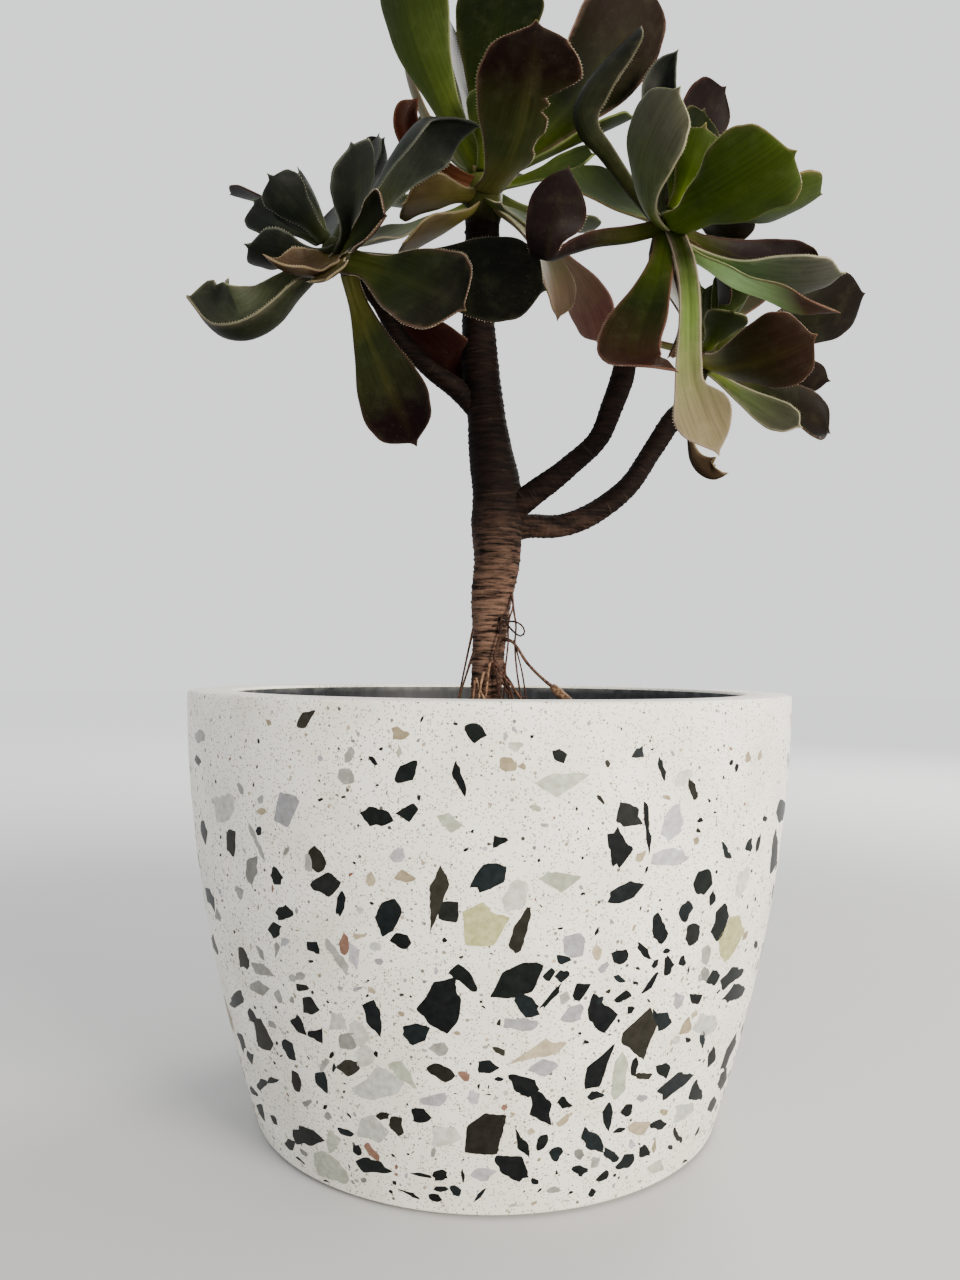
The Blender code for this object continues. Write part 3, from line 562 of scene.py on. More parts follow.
@dataclass(frozen=True)
class AeoniumLeaf(Finish):
    """Fleshy leaf skin: a waxy half gloss, light that glows through, faint lengthwise veins, a thin rim."""
    glow: float = 0.25
    glow_depth: float = 2.0
    vein_shade: str = "#dcdcd6"
    blotch_light: str = "#b8bf8c"
    blotch_size: float = 7.0
    speck_tone: str = "#8c8a78"
    speck_cell: float = 2.1
    rim_line: float = 0.34
    rim_fade: float = 2.6
    relief: float = 0.3

    def paint(self, tree: bpy.types.NodeTree) -> dict[str, object]:
        """The leaf's own colour with veins, blotches and a rim line, all on the leaf's own coordinates.

        Args:
            tree: the material's node tree.

        Returns:
            Its share of the shader's inputs.
        """
        place = put(tree, Node.PLACE)
        own = put(tree, Node.COLOUR_OF, attribute_name="tint")
        edge = put(tree, Node.COLOUR_OF, attribute_name="edge")
        inward = put(tree, Node.NUMBER_OF, attribute_name="inward")
        drawn = put(tree, Node.STRETCHED, put(tree, Node.FLAT_MAP, uv_map="blade"), (95.0, 3.0, 0.0))
        vein = put(tree, Node.NOISE, drawn, 1.0, 3.0, 0.55)
        blotch = put(tree, Node.NOISE, place, per_metre(self.blotch_size), 6.0, 0.6)
        colour = put(tree, Node.MIX, put(tree, Node.RANGE, vein, 0.3, 0.7),
                     put(tree, Node.MIX, 1.0, own, self.vein_shade, blend_type='MULTIPLY'), own)
        colour = put(tree, Node.MIX, put(tree, Node.RANGE, blotch, 0.45, 0.8), colour,
                     put(tree, Node.MIX, 0.012, own, self.blotch_light))
        speck = put(tree, Node.RANGE, put(tree, Node.CELLS, place, per_metre(self.speck_cell)),
                    0.07, 0.13, 0.05, 0.0)
        colour = put(tree, Node.MIX, speck, colour, self.speck_tone)
        fade = put(tree, Node.RANGE, inward, 0.0, self.rim_fade, 0.22, 0.0)
        ragged = put(tree, Node.TIMES, fade, put(tree, Node.RANGE, blotch, 0.3, 0.6))
        colour = put(tree, Node.MIX, ragged, colour, edge)
        line = put(tree, Node.RANGE, inward, self.rim_line * 0.4, self.rim_line, 0.7, 0.0)
        height = put(tree, Node.PLUS, put(tree, Node.TIMES, vein, 0.5), blotch)
        return {"Base Color": put(tree, Node.MIX, line, colour, edge),
                "Roughness": put(tree, Node.PLUS, put(tree, Node.TIMES, blotch, 0.25), self.roughness - 0.1),
                "Normal": put(tree, Node.RELIEF, height, 0.3, self.relief * MM),
                "Subsurface Weight": self.glow,
                "Subsurface Radius": (0.6, 1.0, 0.25),
                "Subsurface Scale": self.glow_depth * MM}


@dataclass(frozen=True)
class ScarredBark(Finish):
    """Half-woody succulent stem: dry brown skin, pale corky lines where leaves fell off, and painted shade
    that darkens the skin and hides most cork lines higher up, under the leaf heads.
    """
    # skin and deep are darker than the bark's own colour, as painted shade under the leaf heads; pale_skin is
    # the lower trunk's own colour.
    deep: str = "#070403"
    skin: str = "#160d0a"
    cork: str = "#6d5a4c"
    pale_skin: str = "#684f41"
    painted_shade_from: float = 200.0
    painted_shade_fade: float = 60.0
    flake_size: float = 1.6
    patch_size: float = 9.0
    relief: float = 0.5

    def paint(self, tree: bpy.types.NodeTree) -> dict[str, object]:
        """Cork lines from the scars' own relief, over flaky brown skin, with painted shade above a given
        height.

        Args:
            tree: the material's node tree.

        Returns:
            Its share of the shader's inputs.
        """
        place = put(tree, Node.PLACE)
        scar = put(tree, Node.NUMBER_OF, attribute_name="scar")
        flake = put(tree, Node.NOISE, put(tree, Node.STRETCHED, place, (0.14, 0.14, 1.0)),
                    per_metre(self.flake_size), 6.0, 0.7)
        patch = put(tree, Node.NOISE, place, per_metre(self.patch_size), 4.0)
        # Painted shade mask: 1 low on the stem, falling to 0 higher up, where the skin turns to the dark
        # shaded tone.
        below_painted_shade = put(tree, Node.RANGE, put(tree, Node.HEIGHT, place), self.painted_shade_from * MM,
                  (self.painted_shade_from + self.painted_shade_fade) * MM, 1.0, 0.0)
        colour = put(tree, Node.MIX, put(tree, Node.RANGE, flake, 0.36, 0.64), self.deep,
                     put(tree, Node.MIX, below_painted_shade, self.skin, self.pale_skin))
        broken = put(tree, Node.TIMES, put(tree, Node.RANGE, scar, 0.25, 0.8),
                     put(tree, Node.RANGE, patch, 0.3, 0.6))
        # Painted shade also hides most of the cork lines higher up.
        broken = put(tree, Node.TIMES, broken, put(tree, Node.TIMES_PLUS, below_painted_shade, 0.85, 0.15))
        return {"Base Color": put(tree, Node.MIX, broken, colour, self.cork),
                "Normal": put(tree, Node.RELIEF, flake, 0.8, self.relief * MM)}


@dataclass(frozen=True)
class TintedCrumb(Finish):
    """Dry plant matter or stone crumbs: dull, each with a colour of its own, mottled."""
    shade: str = "#8d8a86"
    pale: str = "#b39c80"
    mottle: float = 1.4
    relief: float = 0.5

    def paint(self, tree: bpy.types.NodeTree) -> dict[str, object]:
        """The piece's own colour, with paler flecks and a rough skin.

        Args:
            tree: the material's node tree.

        Returns:
            Its share of the shader's inputs.
        """
        own = put(tree, Node.COLOUR_OF, attribute_name="tint")
        cloud = put(tree, Node.NOISE, put(tree, Node.PLACE), per_metre(self.mottle), 5.0)
        dark = put(tree, Node.MIX, 1.0, own, self.shade, blend_type='MULTIPLY')
        colour = put(tree, Node.MIX, put(tree, Node.RANGE, cloud, 0.35, 0.6), dark, own)
        return {"Base Color": put(tree, Node.MIX, put(tree, Node.RANGE, cloud, 0.6, 0.8, 0.0, 0.5), colour,
                                  self.pale),
                "Normal": put(tree, Node.RELIEF, cloud, 0.8, self.relief * MM)}


@dataclass(frozen=True)
class PottingMix(Finish):
    """Damp peat and bark fines: nearly black brown, crumbly, with pale grit."""
    peat: str = "#1d1510"
    fines: str = "#45342a"
    grit: str = "#a79f90"
    crumb_size: float = 3.5
    grit_cell: float = 2.4
    relief: float = 2.0

    def paint(self, tree: bpy.types.NodeTree) -> dict[str, object]:
        """Crumbs of two sizes with a strong relief.

        Args:
            tree: the material's node tree.

        Returns:
            Its share of the shader's inputs.
        """
        place = put(tree, Node.PLACE)
        coarse = put(tree, Node.NOISE, place, per_metre(self.crumb_size), 8.0, 0.75)
        near = put(tree, Node.CELLS, place, per_metre(self.grit_cell))
        some = put(tree, Node.ABOVE, put(tree, Node.CHANNELS, near.node.outputs["Color"]), 0.9)
        colour = put(tree, Node.MIX, put(tree, Node.RANGE, coarse, 0.35, 0.7), self.peat, self.fines)
        pale = put(tree, Node.TIMES, some, put(tree, Node.BELOW, near, 0.3))
        return {"Base Color": put(tree, Node.MIX, pale, colour, self.grit),
                "Normal": put(tree, Node.RELIEF, coarse, 1.0, self.relief * MM)}


@dataclass(frozen=True)
class PaleFloor(Finish):
    """Matt pale paint for the studio floor, faintly uneven, with painted light that makes it paler far off,
    towards the sky's brightness, so that no edge shows.
    """
    near: str = "#b6b6b6"
    cloudy: str = "#b2b2b2"
    # far is painted light: the distant floor is painted towards the sky's brightness.
    far: str = "#fbfbfb"
    cloud_size: float = 400.0
    fade_from: float = 330.0
    fade_power: float = 2.6

    def paint(self, tree: bpy.types.NodeTree) -> dict[str, object]:
        """Two almost equal tones in wide clouds, fading with distance to a third, paler tone that is painted
        light.

        Args:
            tree: the material's node tree.

        Returns:
            Its share of the shader's inputs.
        """
        place = put(tree, Node.PLACE)
        # Painted light: the floor turns paler with distance from the middle.
        near = put(tree, Node.OVER, self.fade_from * MM, put(tree, Node.DISTANCE, place))
        fade = put(tree, Node.POWER, put(tree, Node.RANGE, near, 0.05, 1.0, 1.0, 0.0), self.fade_power)
        cloud = put(tree, Node.NOISE, place, per_metre(self.cloud_size))
        return {"Base Color": put(tree, Node.MIX, fade, put(tree, Node.MIX, cloud, self.near, self.cloudy),
                                  self.far)}


@dataclass(frozen=True)
class LeafHair(Finish):
    """Stiff hairs along a leaf's rim: colourless, catching the light."""
    tone: str = "#b3ab93"
    dull: str = "#8f7f6a"
    change_size: float = 12.0

    def paint(self, tree: bpy.types.NodeTree) -> dict[str, object]:
        """One pale tone with slight changes from hair to hair.

        Args:
            tree: the material's node tree.

        Returns:
            Its share of the shader's inputs.
        """
        cloud = put(tree, Node.NOISE, put(tree, Node.PLACE), per_metre(self.change_size))
        return {"Base Color": put(tree, Node.MIX, cloud, self.tone, self.dull)}


STONE = CastStone("cast_terrazzo_white", 0.46, gloss=0.3)
CHIP = MarbleChip("honed_marble_chip", 0.36, 1.55, gloss=0.08)
SEALED = SealedInside("bitumen_sealing_paint", 0.55, gloss=0.3)
LEAF = AeoniumLeaf("aeonium_leaf_skin", 0.46, 1.42, gloss=0.05)
HAIR = LeafHair("rim_hair", 0.5, 1.5)
BARK = ScarredBark("scarred_succulent_bark", 0.75, gloss=0.06)
ROOT = TintedCrumb("dry_aerial_root", 0.7, gloss=0.15)
CRUMB = TintedCrumb("bark_and_pumice_crumb", 0.9, gloss=0.2, mottle=2.2)
PEAT = PottingMix("damp_potting_mix", 0.95, gloss=0.2)
FLOOR = PaleFloor("matt_pale_paint", 0.9, gloss=0.2)


# The camera that took the photograph, found from the pot's outlines


@dataclass(frozen=True)
class Viewpoint:
    """Where the photograph was taken from, and its frame."""
    place: tuple[float, float, float] = (-3.95, -417.0, 183.2)
    pitch: float = 1.44
    roll: float = 0.5
    wide: int = 960
    high: int = 1280
    reach: float = 961.0
    sensor: float = 36.0
    nearest: float = 10.0

    def axes(self) -> tuple[Vector, Vector, Vector]:
        """Find how the camera is turned.

        Returns:
            Its right, up and forward directions.
        """
        pitch, roll = math.radians(self.pitch), math.radians(self.roll)
        ahead = Vector((0.0, math.cos(pitch), math.sin(pitch)))
        level_up = Vector((0.0, -math.sin(pitch), math.cos(pitch)))
        right = Vector((1.0, 0.0, 0.0)) * math.cos(roll) + level_up * math.sin(roll)
        return right, ahead.cross(right) * -1.0, ahead

    def at_depth(self, column: float, row: float, y: float) -> Vector:
        """Find the point seen at a pixel where its ray crosses an upright plane facing the camera.

        Args:
            column: the pixel's column.
            row: the pixel's row.
            y: where the plane stands.

        Returns:
            The point.
        """
        right, up, ahead = self.axes()
        across, rise = (column - self.wide / 2) / self.reach, (self.high / 2 - row) / self.reach
        ray = ahead + right * across + up * rise
        return Vector(self.place) + ray * ((y - self.place[1]) / ray.y)

    def camera(self) -> None:
        """Add the camera and look through it."""
        lens = bpy.data.cameras.new("viewpoint")
        lens.sensor_fit = 'VERTICAL'
        lens.sensor_height = self.sensor
        lens.lens = self.sensor * self.reach / self.high
        lens.clip_start = self.nearest * MM
        right, up, ahead = self.axes()
        made = show("viewpoint", lens)
        made.matrix_world = Matrix.Translation(Vector(self.place) * MM) @ Matrix(
            (right, up, -ahead)).transposed().to_4x4()
        bpy.context.scene.camera = made


VIEW = Viewpoint()


# Planter


class Stone(Enum):
    """Kinds of chip in the stone, each with the tones it comes in."""
    BLACK = ("#080c0e", "#0c1214", "#0a100f", "#11181b")
    DARK = ("#1c1a15", "#23211b", "#171918", "#2a2821")
    GREY = ("#757672", "#868782", "#939490")
    LILAC = ("#9a9aa0", "#a7a7ac", "#919296")
    GREEN = ("#a8ae9e", "#9fa695", "#b2b7a9")
    BEIGE = ("#988c73", "#a89d86", "#8b8069")
    WHITE = ("#b9bbb6", "#b1b4af", "#c0bfb9")
    RUST = ("#6f4d3b", "#7f6153")
    YELLOW = ("#a8a77a", "#9e9f74")


@dataclass(frozen=True)
class ChipSpot:
    """One chip of the front: its middle and size on a close view of the photograph, and its stone."""
    across: float
    down: float
    long: float
    short: float
    turn: float
    stone: Stone


CLOSE_CORNER = (180.0, 680.0)
CLOSE_SCALE = 2.5
K, D, G, L, N, B, W, R, Y = Stone
DARK_STONES = [K] * 7 + [D] * 3
PALE_STONES = [G] * 16 + [L] * 12 + [N] * 7 + [B] * 12 + [W] * 8 + [R] * 4 + [Y]
FRONT_CHIPS = [ChipSpot(*row) for row in (
    (741, 133, 52, 48, 0, K), (567, 230, 75, 42, 40, K), (697, 255, 96, 32, 100, K), (950, 187, 38, 36, 0, K),
    (1148, 184, 38, 26, 45, K), (1206, 218, 62, 20, 95, K), (490, 343, 72, 50, -20, K),
    (568, 335, 58, 50, 10, K), (1117, 337, 75, 55, -15, D), (1168, 365, 118, 14, 96, K),
    (1098, 420, 88, 76, 80, K), (1282, 275, 60, 22, 100, D), (1500, 330, 60, 20, 80, K),
    (797, 405, 50, 35, 60, K), (1364, 428, 55, 20, -70, K), (1422, 415, 45, 16, 70, K),
    (1445, 410, 45, 10, 75, K), (1462, 348, 14, 14, 0, K), (127, 408, 72, 24, 90, D),
    (197, 378, 28, 16, 100, K), (341, 448, 62, 38, -80, D), (243, 492, 50, 30, -60, K),
    (367, 513, 58, 50, 20, D), (402, 557, 60, 20, 80, K), (645, 545, 150, 52, 85, D),
    (668, 580, 60, 58, 0, D), (768, 495, 92, 62, 50, K), (1110, 530, 105, 42, 30, K),
    (1305, 507, 58, 46, 60, K), (518, 590, 105, 50, 70, K), (552, 650, 48, 40, 0, K),
    (262, 582, 40, 32, 20, K), (240, 625, 38, 34, 30, K), (333, 668, 42, 30, -60, K),
    (157, 697, 52, 26, -75, D), (848, 635, 105, 36, 75, D), (1195, 622, 75, 36, -75, K),
    (1262, 580, 55, 32, 75, K), (1330, 548, 42, 16, 80, K), (1352, 607, 98, 34, 75, K),
    (1283, 632, 52, 34, 80, D), (1160, 675, 62, 22, -50, K), (1099, 690, 40, 38, 0, K),
    (1220, 712, 52, 28, 80, K), (1256, 705, 34, 18, 60, K), (1178, 758, 60, 18, 50, K),
    (833, 755, 130, 72, 25, K), (706, 742, 80, 40, -35, K), (652, 815, 122, 104, 70, K),
    (587, 888, 66, 60, 10, K), (867, 815, 62, 48, -30, K), (925, 795, 76, 18, 50, K),
    (958, 700, 42, 22, -15, K), (922, 735, 36, 34, 0, K), (955, 740, 38, 28, 50, K),
    (1004, 776, 50, 46, 20, K), (1052, 830, 88, 62, -60, K), (1103, 788, 50, 28, 10, K),
    (1156, 880, 108, 80, 80, D), (1212, 850, 50, 40, 60, K), (1290, 797, 38, 32, 30, K),
    (1335, 745, 50, 26, 60, K), (1375, 745, 70, 34, 40, K), (1385, 782, 65, 34, 35, K),
    (484, 840, 92, 36, -65, K), (322, 818, 48, 46, 0, D), (297, 862, 55, 26, -60, K),
    (342, 888, 46, 42, 30, K), (207, 890, 85, 36, -65, D), (273, 920, 55, 24, -65, K),
    (143, 800, 40, 26, 60, K), (155, 905, 45, 18, -75, K), (124, 810, 95, 26, -75, K),
    (1050, 970, 128, 54, 52, K), (1230, 1020, 108, 38, 40, K), (1290, 1030, 55, 30, 80, K),
    (1210, 975, 50, 32, -70, K), (1158, 990, 46, 34, 30, D), (1135, 968, 50, 18, 80, K),
    (860, 1012, 74, 44, -30, K), (905, 1070, 100, 54, -55, K), (768, 968, 50, 36, -10, K),
    (798, 998, 22, 12, 0, K), (650, 982, 66, 42, -25, D), (712, 990, 32, 26, -40, R),
    (420, 968, 54, 40, -20, D), (357, 1008, 62, 28, -75, K), (290, 1005, 55, 24, -70, D),
    (232, 1000, 30, 20, 10, K), (204, 1010, 30, 24, 40, K), (963, 1058, 42, 32, 0, K),
    (1040, 1038, 36, 22, 10, K), (1330, 945, 55, 20, 75, K), (1372, 930, 90, 18, 70, K),
    (315, 95, 50, 30, 55, D), (547, 133, 44, 34, 0, B), (425, 188, 45, 20, 70, G), (416, 243, 50, 38, -35, G),
    (548, 180, 22, 14, 90, N), (815, 142, 24, 14, 80, G), (840, 165, 35, 30, 0, N), (820, 210, 50, 30, -5, B),
    (857, 217, 18, 18, 0, B), (958, 260, 135, 72, 5, N), (675, 352, 60, 40, -35, N),
    (265, 320, 92, 64, 70, L), (545, 440, 40, 38, 0, L), (568, 490, 55, 34, 0, B), (477, 497, 44, 22, 80, B),
    (838, 535, 76, 56, 70, W), (950, 500, 100, 56, 5, N), (1232, 365, 90, 58, 80, L),
    (1229, 443, 100, 40, 0, L), (1257, 245, 60, 26, 50, W), (1407, 500, 85, 30, 80, W),
    (758, 612, 112, 90, 10, Y), (392, 690, 112, 24, -58, G), (438, 690, 76, 28, -80, L),
    (990, 660, 66, 54, 80, L), (1042, 683, 36, 20, 80, B), (1375, 650, 106, 46, 72, Y),
    (1315, 687, 48, 28, 80, G), (958, 795, 36, 28, 80, G), (985, 830, 60, 38, 20, L),
    (848, 862, 80, 38, 0, L), (900, 925, 150, 46, 24, B), (650, 922, 45, 32, 0, G),
    (557, 982, 82, 34, -50, N), (905, 970, 66, 34, 10, L), (1312, 862, 62, 56, 0, W),
    (1265, 868, 50, 22, 60, B), (1100, 1000, 110, 34, 85, N), (205, 725, 60, 28, -20, G),
    (195, 770, 45, 34, 0, G), (245, 793, 36, 28, 80, G), (398, 855, 60, 52, 60, W),
    (447, 885, 60, 46, -60, W), (418, 905, 46, 42, 0, G), (462, 940, 50, 42, 80, W),
    (180, 475, 70, 32, 80, G), (190, 400, 110, 12, -65, G), (110, 315, 70, 46, 80, W),
    (410, 660, 45, 26, -80, R), (450, 640, 34, 18, -20, B), (500, 1010, 110, 100, 20, W),
    (640, 1048, 70, 36, 10, L), (1068, 1088, 66, 26, 90, K), (1117, 1072, 34, 26, 50, K),
    (507, 1090, 34, 22, 0, D), (543, 1118, 54, 48, 40, D), (603, 1086, 55, 36, 0, K),
    (660, 1140, 80, 56, 0, W), (735, 1046, 38, 32, 80, L), (770, 1138, 122, 96, 30, D),
    (853, 1152, 80, 30, -75, K), (905, 1156, 40, 26, 50, K), (942, 1186, 36, 32, 0, K),
    (830, 1218, 78, 54, -30, K), (755, 1235, 64, 32, 0, L), (1000, 1225, 38, 28, -20, K),
    (1055, 1242, 42, 18, 35, K), (1030, 1283, 24, 16, 60, K), (1000, 1312, 28, 18, 0, K),
    (1112, 1206, 50, 28, 50, K), (1032, 1152, 66, 40, -50, K), (1076, 1190, 50, 26, -45, K),
    (1162, 1178, 34, 30, 20, K), (1195, 1113, 50, 24, 10, K), (1245, 1140, 40, 16, -55, K),
    (1145, 1120, 52, 34, 20, B), (998, 1186, 26, 26, 0, G), (1038, 1205, 30, 22, 80, G),
    (318, 1142, 74, 44, -14, K), (275, 1160, 32, 24, -60, K), (415, 1130, 42, 18, -30, K),
    (443, 1175, 32, 24, -20, K), (480, 1178, 52, 18, -50, R), (483, 1216, 82, 32, -10, K),
    (293, 1212, 50, 32, -45, K), (380, 1225, 92, 56, -50, N), (365, 1255, 22, 10, -20, K),
    (460, 1250, 14, 14, 0, G), (480, 1124, 80, 70, 0, W), (380, 1155, 50, 38, 80, N),
    (205, 1080, 50, 18, -65, K), (235, 1100, 30, 10, -60, K), (218, 1152, 70, 14, -65, K),
    (310, 1182, 24, 14, -30, G), (633, 1182, 30, 18, 80, G), (650, 1238, 40, 32, -20, K),
    (605, 1238, 50, 9, -10, K), (707, 1240, 36, 12, 85, K), (652, 1272, 36, 16, 0, K),
    (690, 1277, 32, 26, -60, K), (575, 1285, 70, 14, -18, K), (640, 1295, 44, 16, -10, K),
    (750, 1287, 48, 10, 45, K), (840, 1323, 42, 26, 0, W), (935, 1275, 38, 14, 0, G),
    (320, 1058, 24, 18, 0, G), (370, 1090, 20, 18, 0, G), (1225, 1168, 14, 12, 0, K),
    (1262, 1208, 20, 12, 60, K), (1290, 1190, 30, 10, 50, K), (1210, 1250, 18, 12, 40, K),
    (1155, 1045, 36, 22, 20, L), (1255, 1080, 60, 46, 0, W), (1210, 1080, 22, 18, 0, B),
    (960, 1100, 46, 18, 45, B), (880, 1130, 22, 18, 0, B), (1130, 1162, 24, 18, 80, L),
    (1185, 1162, 38, 14, 85, B), (1190, 1218, 42, 34, 20, N), (300, 740, 30, 20, 0, G),
    (262, 655, 26, 20, 40, L), (150, 270, 34, 14, -60, G), (202, 298, 26, 16, 60, G),
    (203, 328, 24, 18, 0, B), (50, 140, 34, 24, 60, G), (45, 200, 30, 12, -70, D), (60, 380, 60, 16, -80, K),
    (75, 545, 60, 18, -75, K), (85, 660, 60, 14, -75, D), (1420, 195, 30, 12, 80, B),
    (1450, 190, 26, 10, 75, B), (1290, 400, 24, 14, 80, B), (1310, 740, 40, 20, 75, G),
    (890, 320, 34, 14, -15, N), (1070, 210, 22, 14, -60, D), (1217, 294, 26, 10, -15, B),
    (1150, 440, 40, 20, 50, B), (1440, 660, 20, 10, 80, K), (1412, 640, 26, 12, 70, B),
    (1485, 440, 90, 14, 80, K), (1485, 400, 50, 8, 80, D), (150, 530, 40, 18, -70, G),
    (95, 590, 34, 14, -70, G), (200, 680, 46, 16, -65, G), (243, 676, 40, 16, 80, G),
    (265, 430, 26, 12, 60, G), (320, 455, 44, 22, -80, G), (350, 300, 16, 12, 0, D),
    (1060, 720, 30, 18, 60, L), (1100, 745, 34, 20, -10, K), (1188, 710, 26, 14, 50, K),
    (1188, 835, 34, 12, -80, K), (1123, 825, 30, 22, 40, K), (1000, 883, 10, 10, 0, K),
    (1245, 805, 44, 26, 80, L), (1240, 900, 30, 16, 40, W), (1270, 900, 16, 12, 0, K),
    (490, 935, 20, 12, -60, K), (380, 937, 20, 14, 60, K), (385, 970, 26, 10, 80, K),
    (362, 965, 40, 22, 80, G), (180, 840, 44, 18, -70, K), (185, 1030, 26, 12, -60, K),
    (168, 985, 40, 16, -65, K), (178, 945, 40, 16, -70, K), (230, 862, 26, 14, -60, G),
    (280, 800, 24, 14, -60, G), (305, 768, 36, 24, -20, D), (328, 703, 18, 10, 0, D),
    (445, 770, 34, 16, 30, L), (400, 770, 16, 10, 0, G), (280, 745, 24, 20, 0, G), (1050, 800, 24, 14, 60, K),
    (1300, 745, 22, 12, 75, G), (1305, 900, 40, 14, 85, K), (1355, 1000, 60, 16, 70, K),
    (1330, 1060, 40, 14, 70, D),
)]


@dataclass
class Planter:
    """The pot: cast shell, sealed inside, and chips ground flush with its side."""
    height: float = 172.0
    rim: float = 125.0
    base: float = 95.0
    foot: float = 91.0
    foot_height: float = 1.2
    wall: float = 18.0
    floor: float = 15.0
    rim_round: float = 1.2
    curve: float = 1.84
    inside_corner: float = 12.0
    sides: int = 192
    levels: int = 56
    drain_radius: float = 5.0
    drain_circle: float = 45.0
    drains: int = 3
    proud: float = 0.05
    chip_depth: float = 0.4
    edge_step: float = 1.5
    hollow_share: float = 0.45
    corner_round: float = 0.22
    chip_scale: float = 1.1
    chip_reach: float = 16.0
    loose_chips: int = 6000
    smallest: float = 1.1
    front_half: float = 64.0
    front_sizes: tuple[float, float] = (9.5, 2.6)
    far_sizes: tuple[float, float] = (15.0, 1.25)
    front_limit: float = 4.8
    clear_below: float = 3.5
    clear_above: float = 3.0
    seed: int = 4

    def outer(self, height: float) -> float:
        """Outer radius at a height."""
        return self.base + (self.rim - self.base) * (1 - max(0.0, 1 - height / self.height) ** self.curve)

    def outline(self) -> tuple[list[tuple[float, float]], int]:
        """Profile from the middle of the inside floor over the rim to the middle of the foot.

        Returns:
            The (radius, height) points, and how many of them lie inside.
        """
        low = self.floor + self.inside_corner
        corner = self.outer(low) - self.wall - self.inside_corner
        profile = [(0.0, self.floor)]
        for step in range(7):
            turn = math.pi / 2 * step / 6
            profile.append((corner + self.inside_corner * math.sin(turn),
                            low - self.inside_corner * math.cos(turn)))
        top = self.height - self.rim_round
        for step in range(1, 25):
            height = low + (top - low) * step / 24
            profile.append((self.outer(height) - self.wall, height))
        inside = len(profile)
        inner = self.rim - self.wall
        for middle, start in ((inner + self.rim_round, math.pi), (self.rim - self.rim_round, math.pi / 2)):
            for step in range(5):
                turn = start - math.pi / 2 * step / 4
                profile.append((middle + self.rim_round * math.cos(turn),
                                top + self.rim_round * math.sin(turn)))
        foot_top = self.foot_height + self.rim_round
        for step in range(1, self.levels + 1):
            height = top + (foot_top - top) * step / self.levels
            profile.append((self.outer(height), height))
        for step in range(1, 5):
            turn = -math.pi / 2 * step / 4
            profile.append((self.outer(foot_top) - self.rim_round * (1 - math.cos(turn)),
                            foot_top + self.rim_round * math.sin(turn)))
        return [*profile, (self.foot, self.foot_height), (self.foot, 0.0), (0.0, 0.0)], inside

    def shell(self) -> bpy.types.Object:
        """Turn the shell and drill its drain holes.

        Returns:
            The finished piece.
        """
        profile, inside = self.outline()
        mesh = bmesh.new()
        rings = [[mesh.verts.new(point * MM) for point in ring(radius, height, self.sides if radius else 1)]
                 for radius, height in profile]
        for number, (first, second) in enumerate(zip(rings, rings[1:])):
            for side in range(self.sides):
                other = (side + 1) % self.sides
                corners = [first[side % len(first)], second[side % len(second)], second[other % len(second)],
                           first[other % len(first)]]
                face = mesh.faces.new(list(dict.fromkeys(corners)))
                face.material_index = int(number < inside - 1)
                face.smooth = True
        bmesh.ops.recalc_face_normals(mesh, faces=mesh.faces)
        data = bpy.data.meshes.new("pot_shell")
        mesh.to_mesh(data)
        mesh.free()
        shell = show("pot_shell", data, (STONE, SEALED))
        drills = [self.drill(math.tau * number / self.drains + math.pi / 6) for number in range(self.drains)]
        for drill in drills:
            cut = shell.modifiers.new(drill.name, 'BOOLEAN')
            cut.operation = 'DIFFERENCE'
            cut.object = drill
            cut.solver = 'EXACT'
        drilled = evaluated(shell)
        shell.modifiers.clear()
        shell.data = drilled
        for drill in drills:
            bpy.data.objects.remove(drill, do_unlink=True)
        drilled.set_sharp_from_angle(angle=math.radians(50))
        return shell

    def drill(self, angle: float) -> bpy.types.Object:
        """Make the cylinder that cuts one drain hole.

        Args:
            angle: its direction about the pot's axis, in radians.

        Returns:
            The cylinder.
        """
        across, back = self.drain_circle * math.cos(angle), self.drain_circle * math.sin(angle)
        skin = Skin()
        skin.add(np.concatenate([ring(self.drain_radius, 0.0, 24) + (across, back, height)
                                 for height in (-self.floor, 2 * self.floor)]), ring_faces(2, 24))
        return skin.piece("drain_drill", STONE)

    def spot_on_side(self, column: float, row: float) -> tuple[float, float] | None:
        """Find where a pixel of the photograph meets the pot's side.

        Args:
            column: the pixel's column.
            row: the pixel's row.

        Returns:
            The direction about the axis in radians and the height, or None where it misses the pot.
        """
        depth = -self.base
        for _ in range(30):
            point = VIEW.at_depth(column, row, depth)
            rest = self.outer(max(0.0, min(self.height, point.z))) ** 2 - point.x ** 2
            if rest <= 60.0:
                return None
            depth = 0.5 * depth - 0.5 * math.sqrt(rest)
        if not self.foot_height + 1 < point.z < self.height - self.rim_round:
            return None
        return math.atan2(point.y, point.x), point.z

    def corners(self, draw: random.Random, long: float, short: float,
                turn: float) -> list[tuple[float, float]]:
        """Break a chip: an irregular, sharp-cornered outline about a middle at zero, with hollow sides.

        Args:
            draw: the source of chance.
            long: its length.
            short: its width.
            turn: how far it is turned, in degrees.

        Returns:
            The corners.
        """
        count = draw.choice((4, 5, 5, 6)) if long > 2.6 * short else draw.choice((4, 5, 5, 6, 7))
        angles = [math.tau * (number + draw.uniform(-0.4, 0.4)) / count for number in range(count)]
        reach = [draw.uniform(0.8, 1.25) for _ in angles]
        tilt = math.radians(turn)
        points = []
        for angle, far in zip(angles, reach):
            x, y = long / 2 * far * math.cos(angle), short / 2 * far * math.sin(angle)
            points.append((x * math.cos(tilt) - y * math.sin(tilt), x * math.sin(tilt) + y * math.cos(tilt)))
        hollowed = []
        for first, second in zip(points, points[1:] + points[:1]):
            hollowed.append(first)
            pull = draw.uniform(0.35, 0.62)
            if draw.random() < self.hollow_share:
                hollowed.append((pull * (first[0] + second[0]), pull * (first[1] + second[1])))
        return hollowed

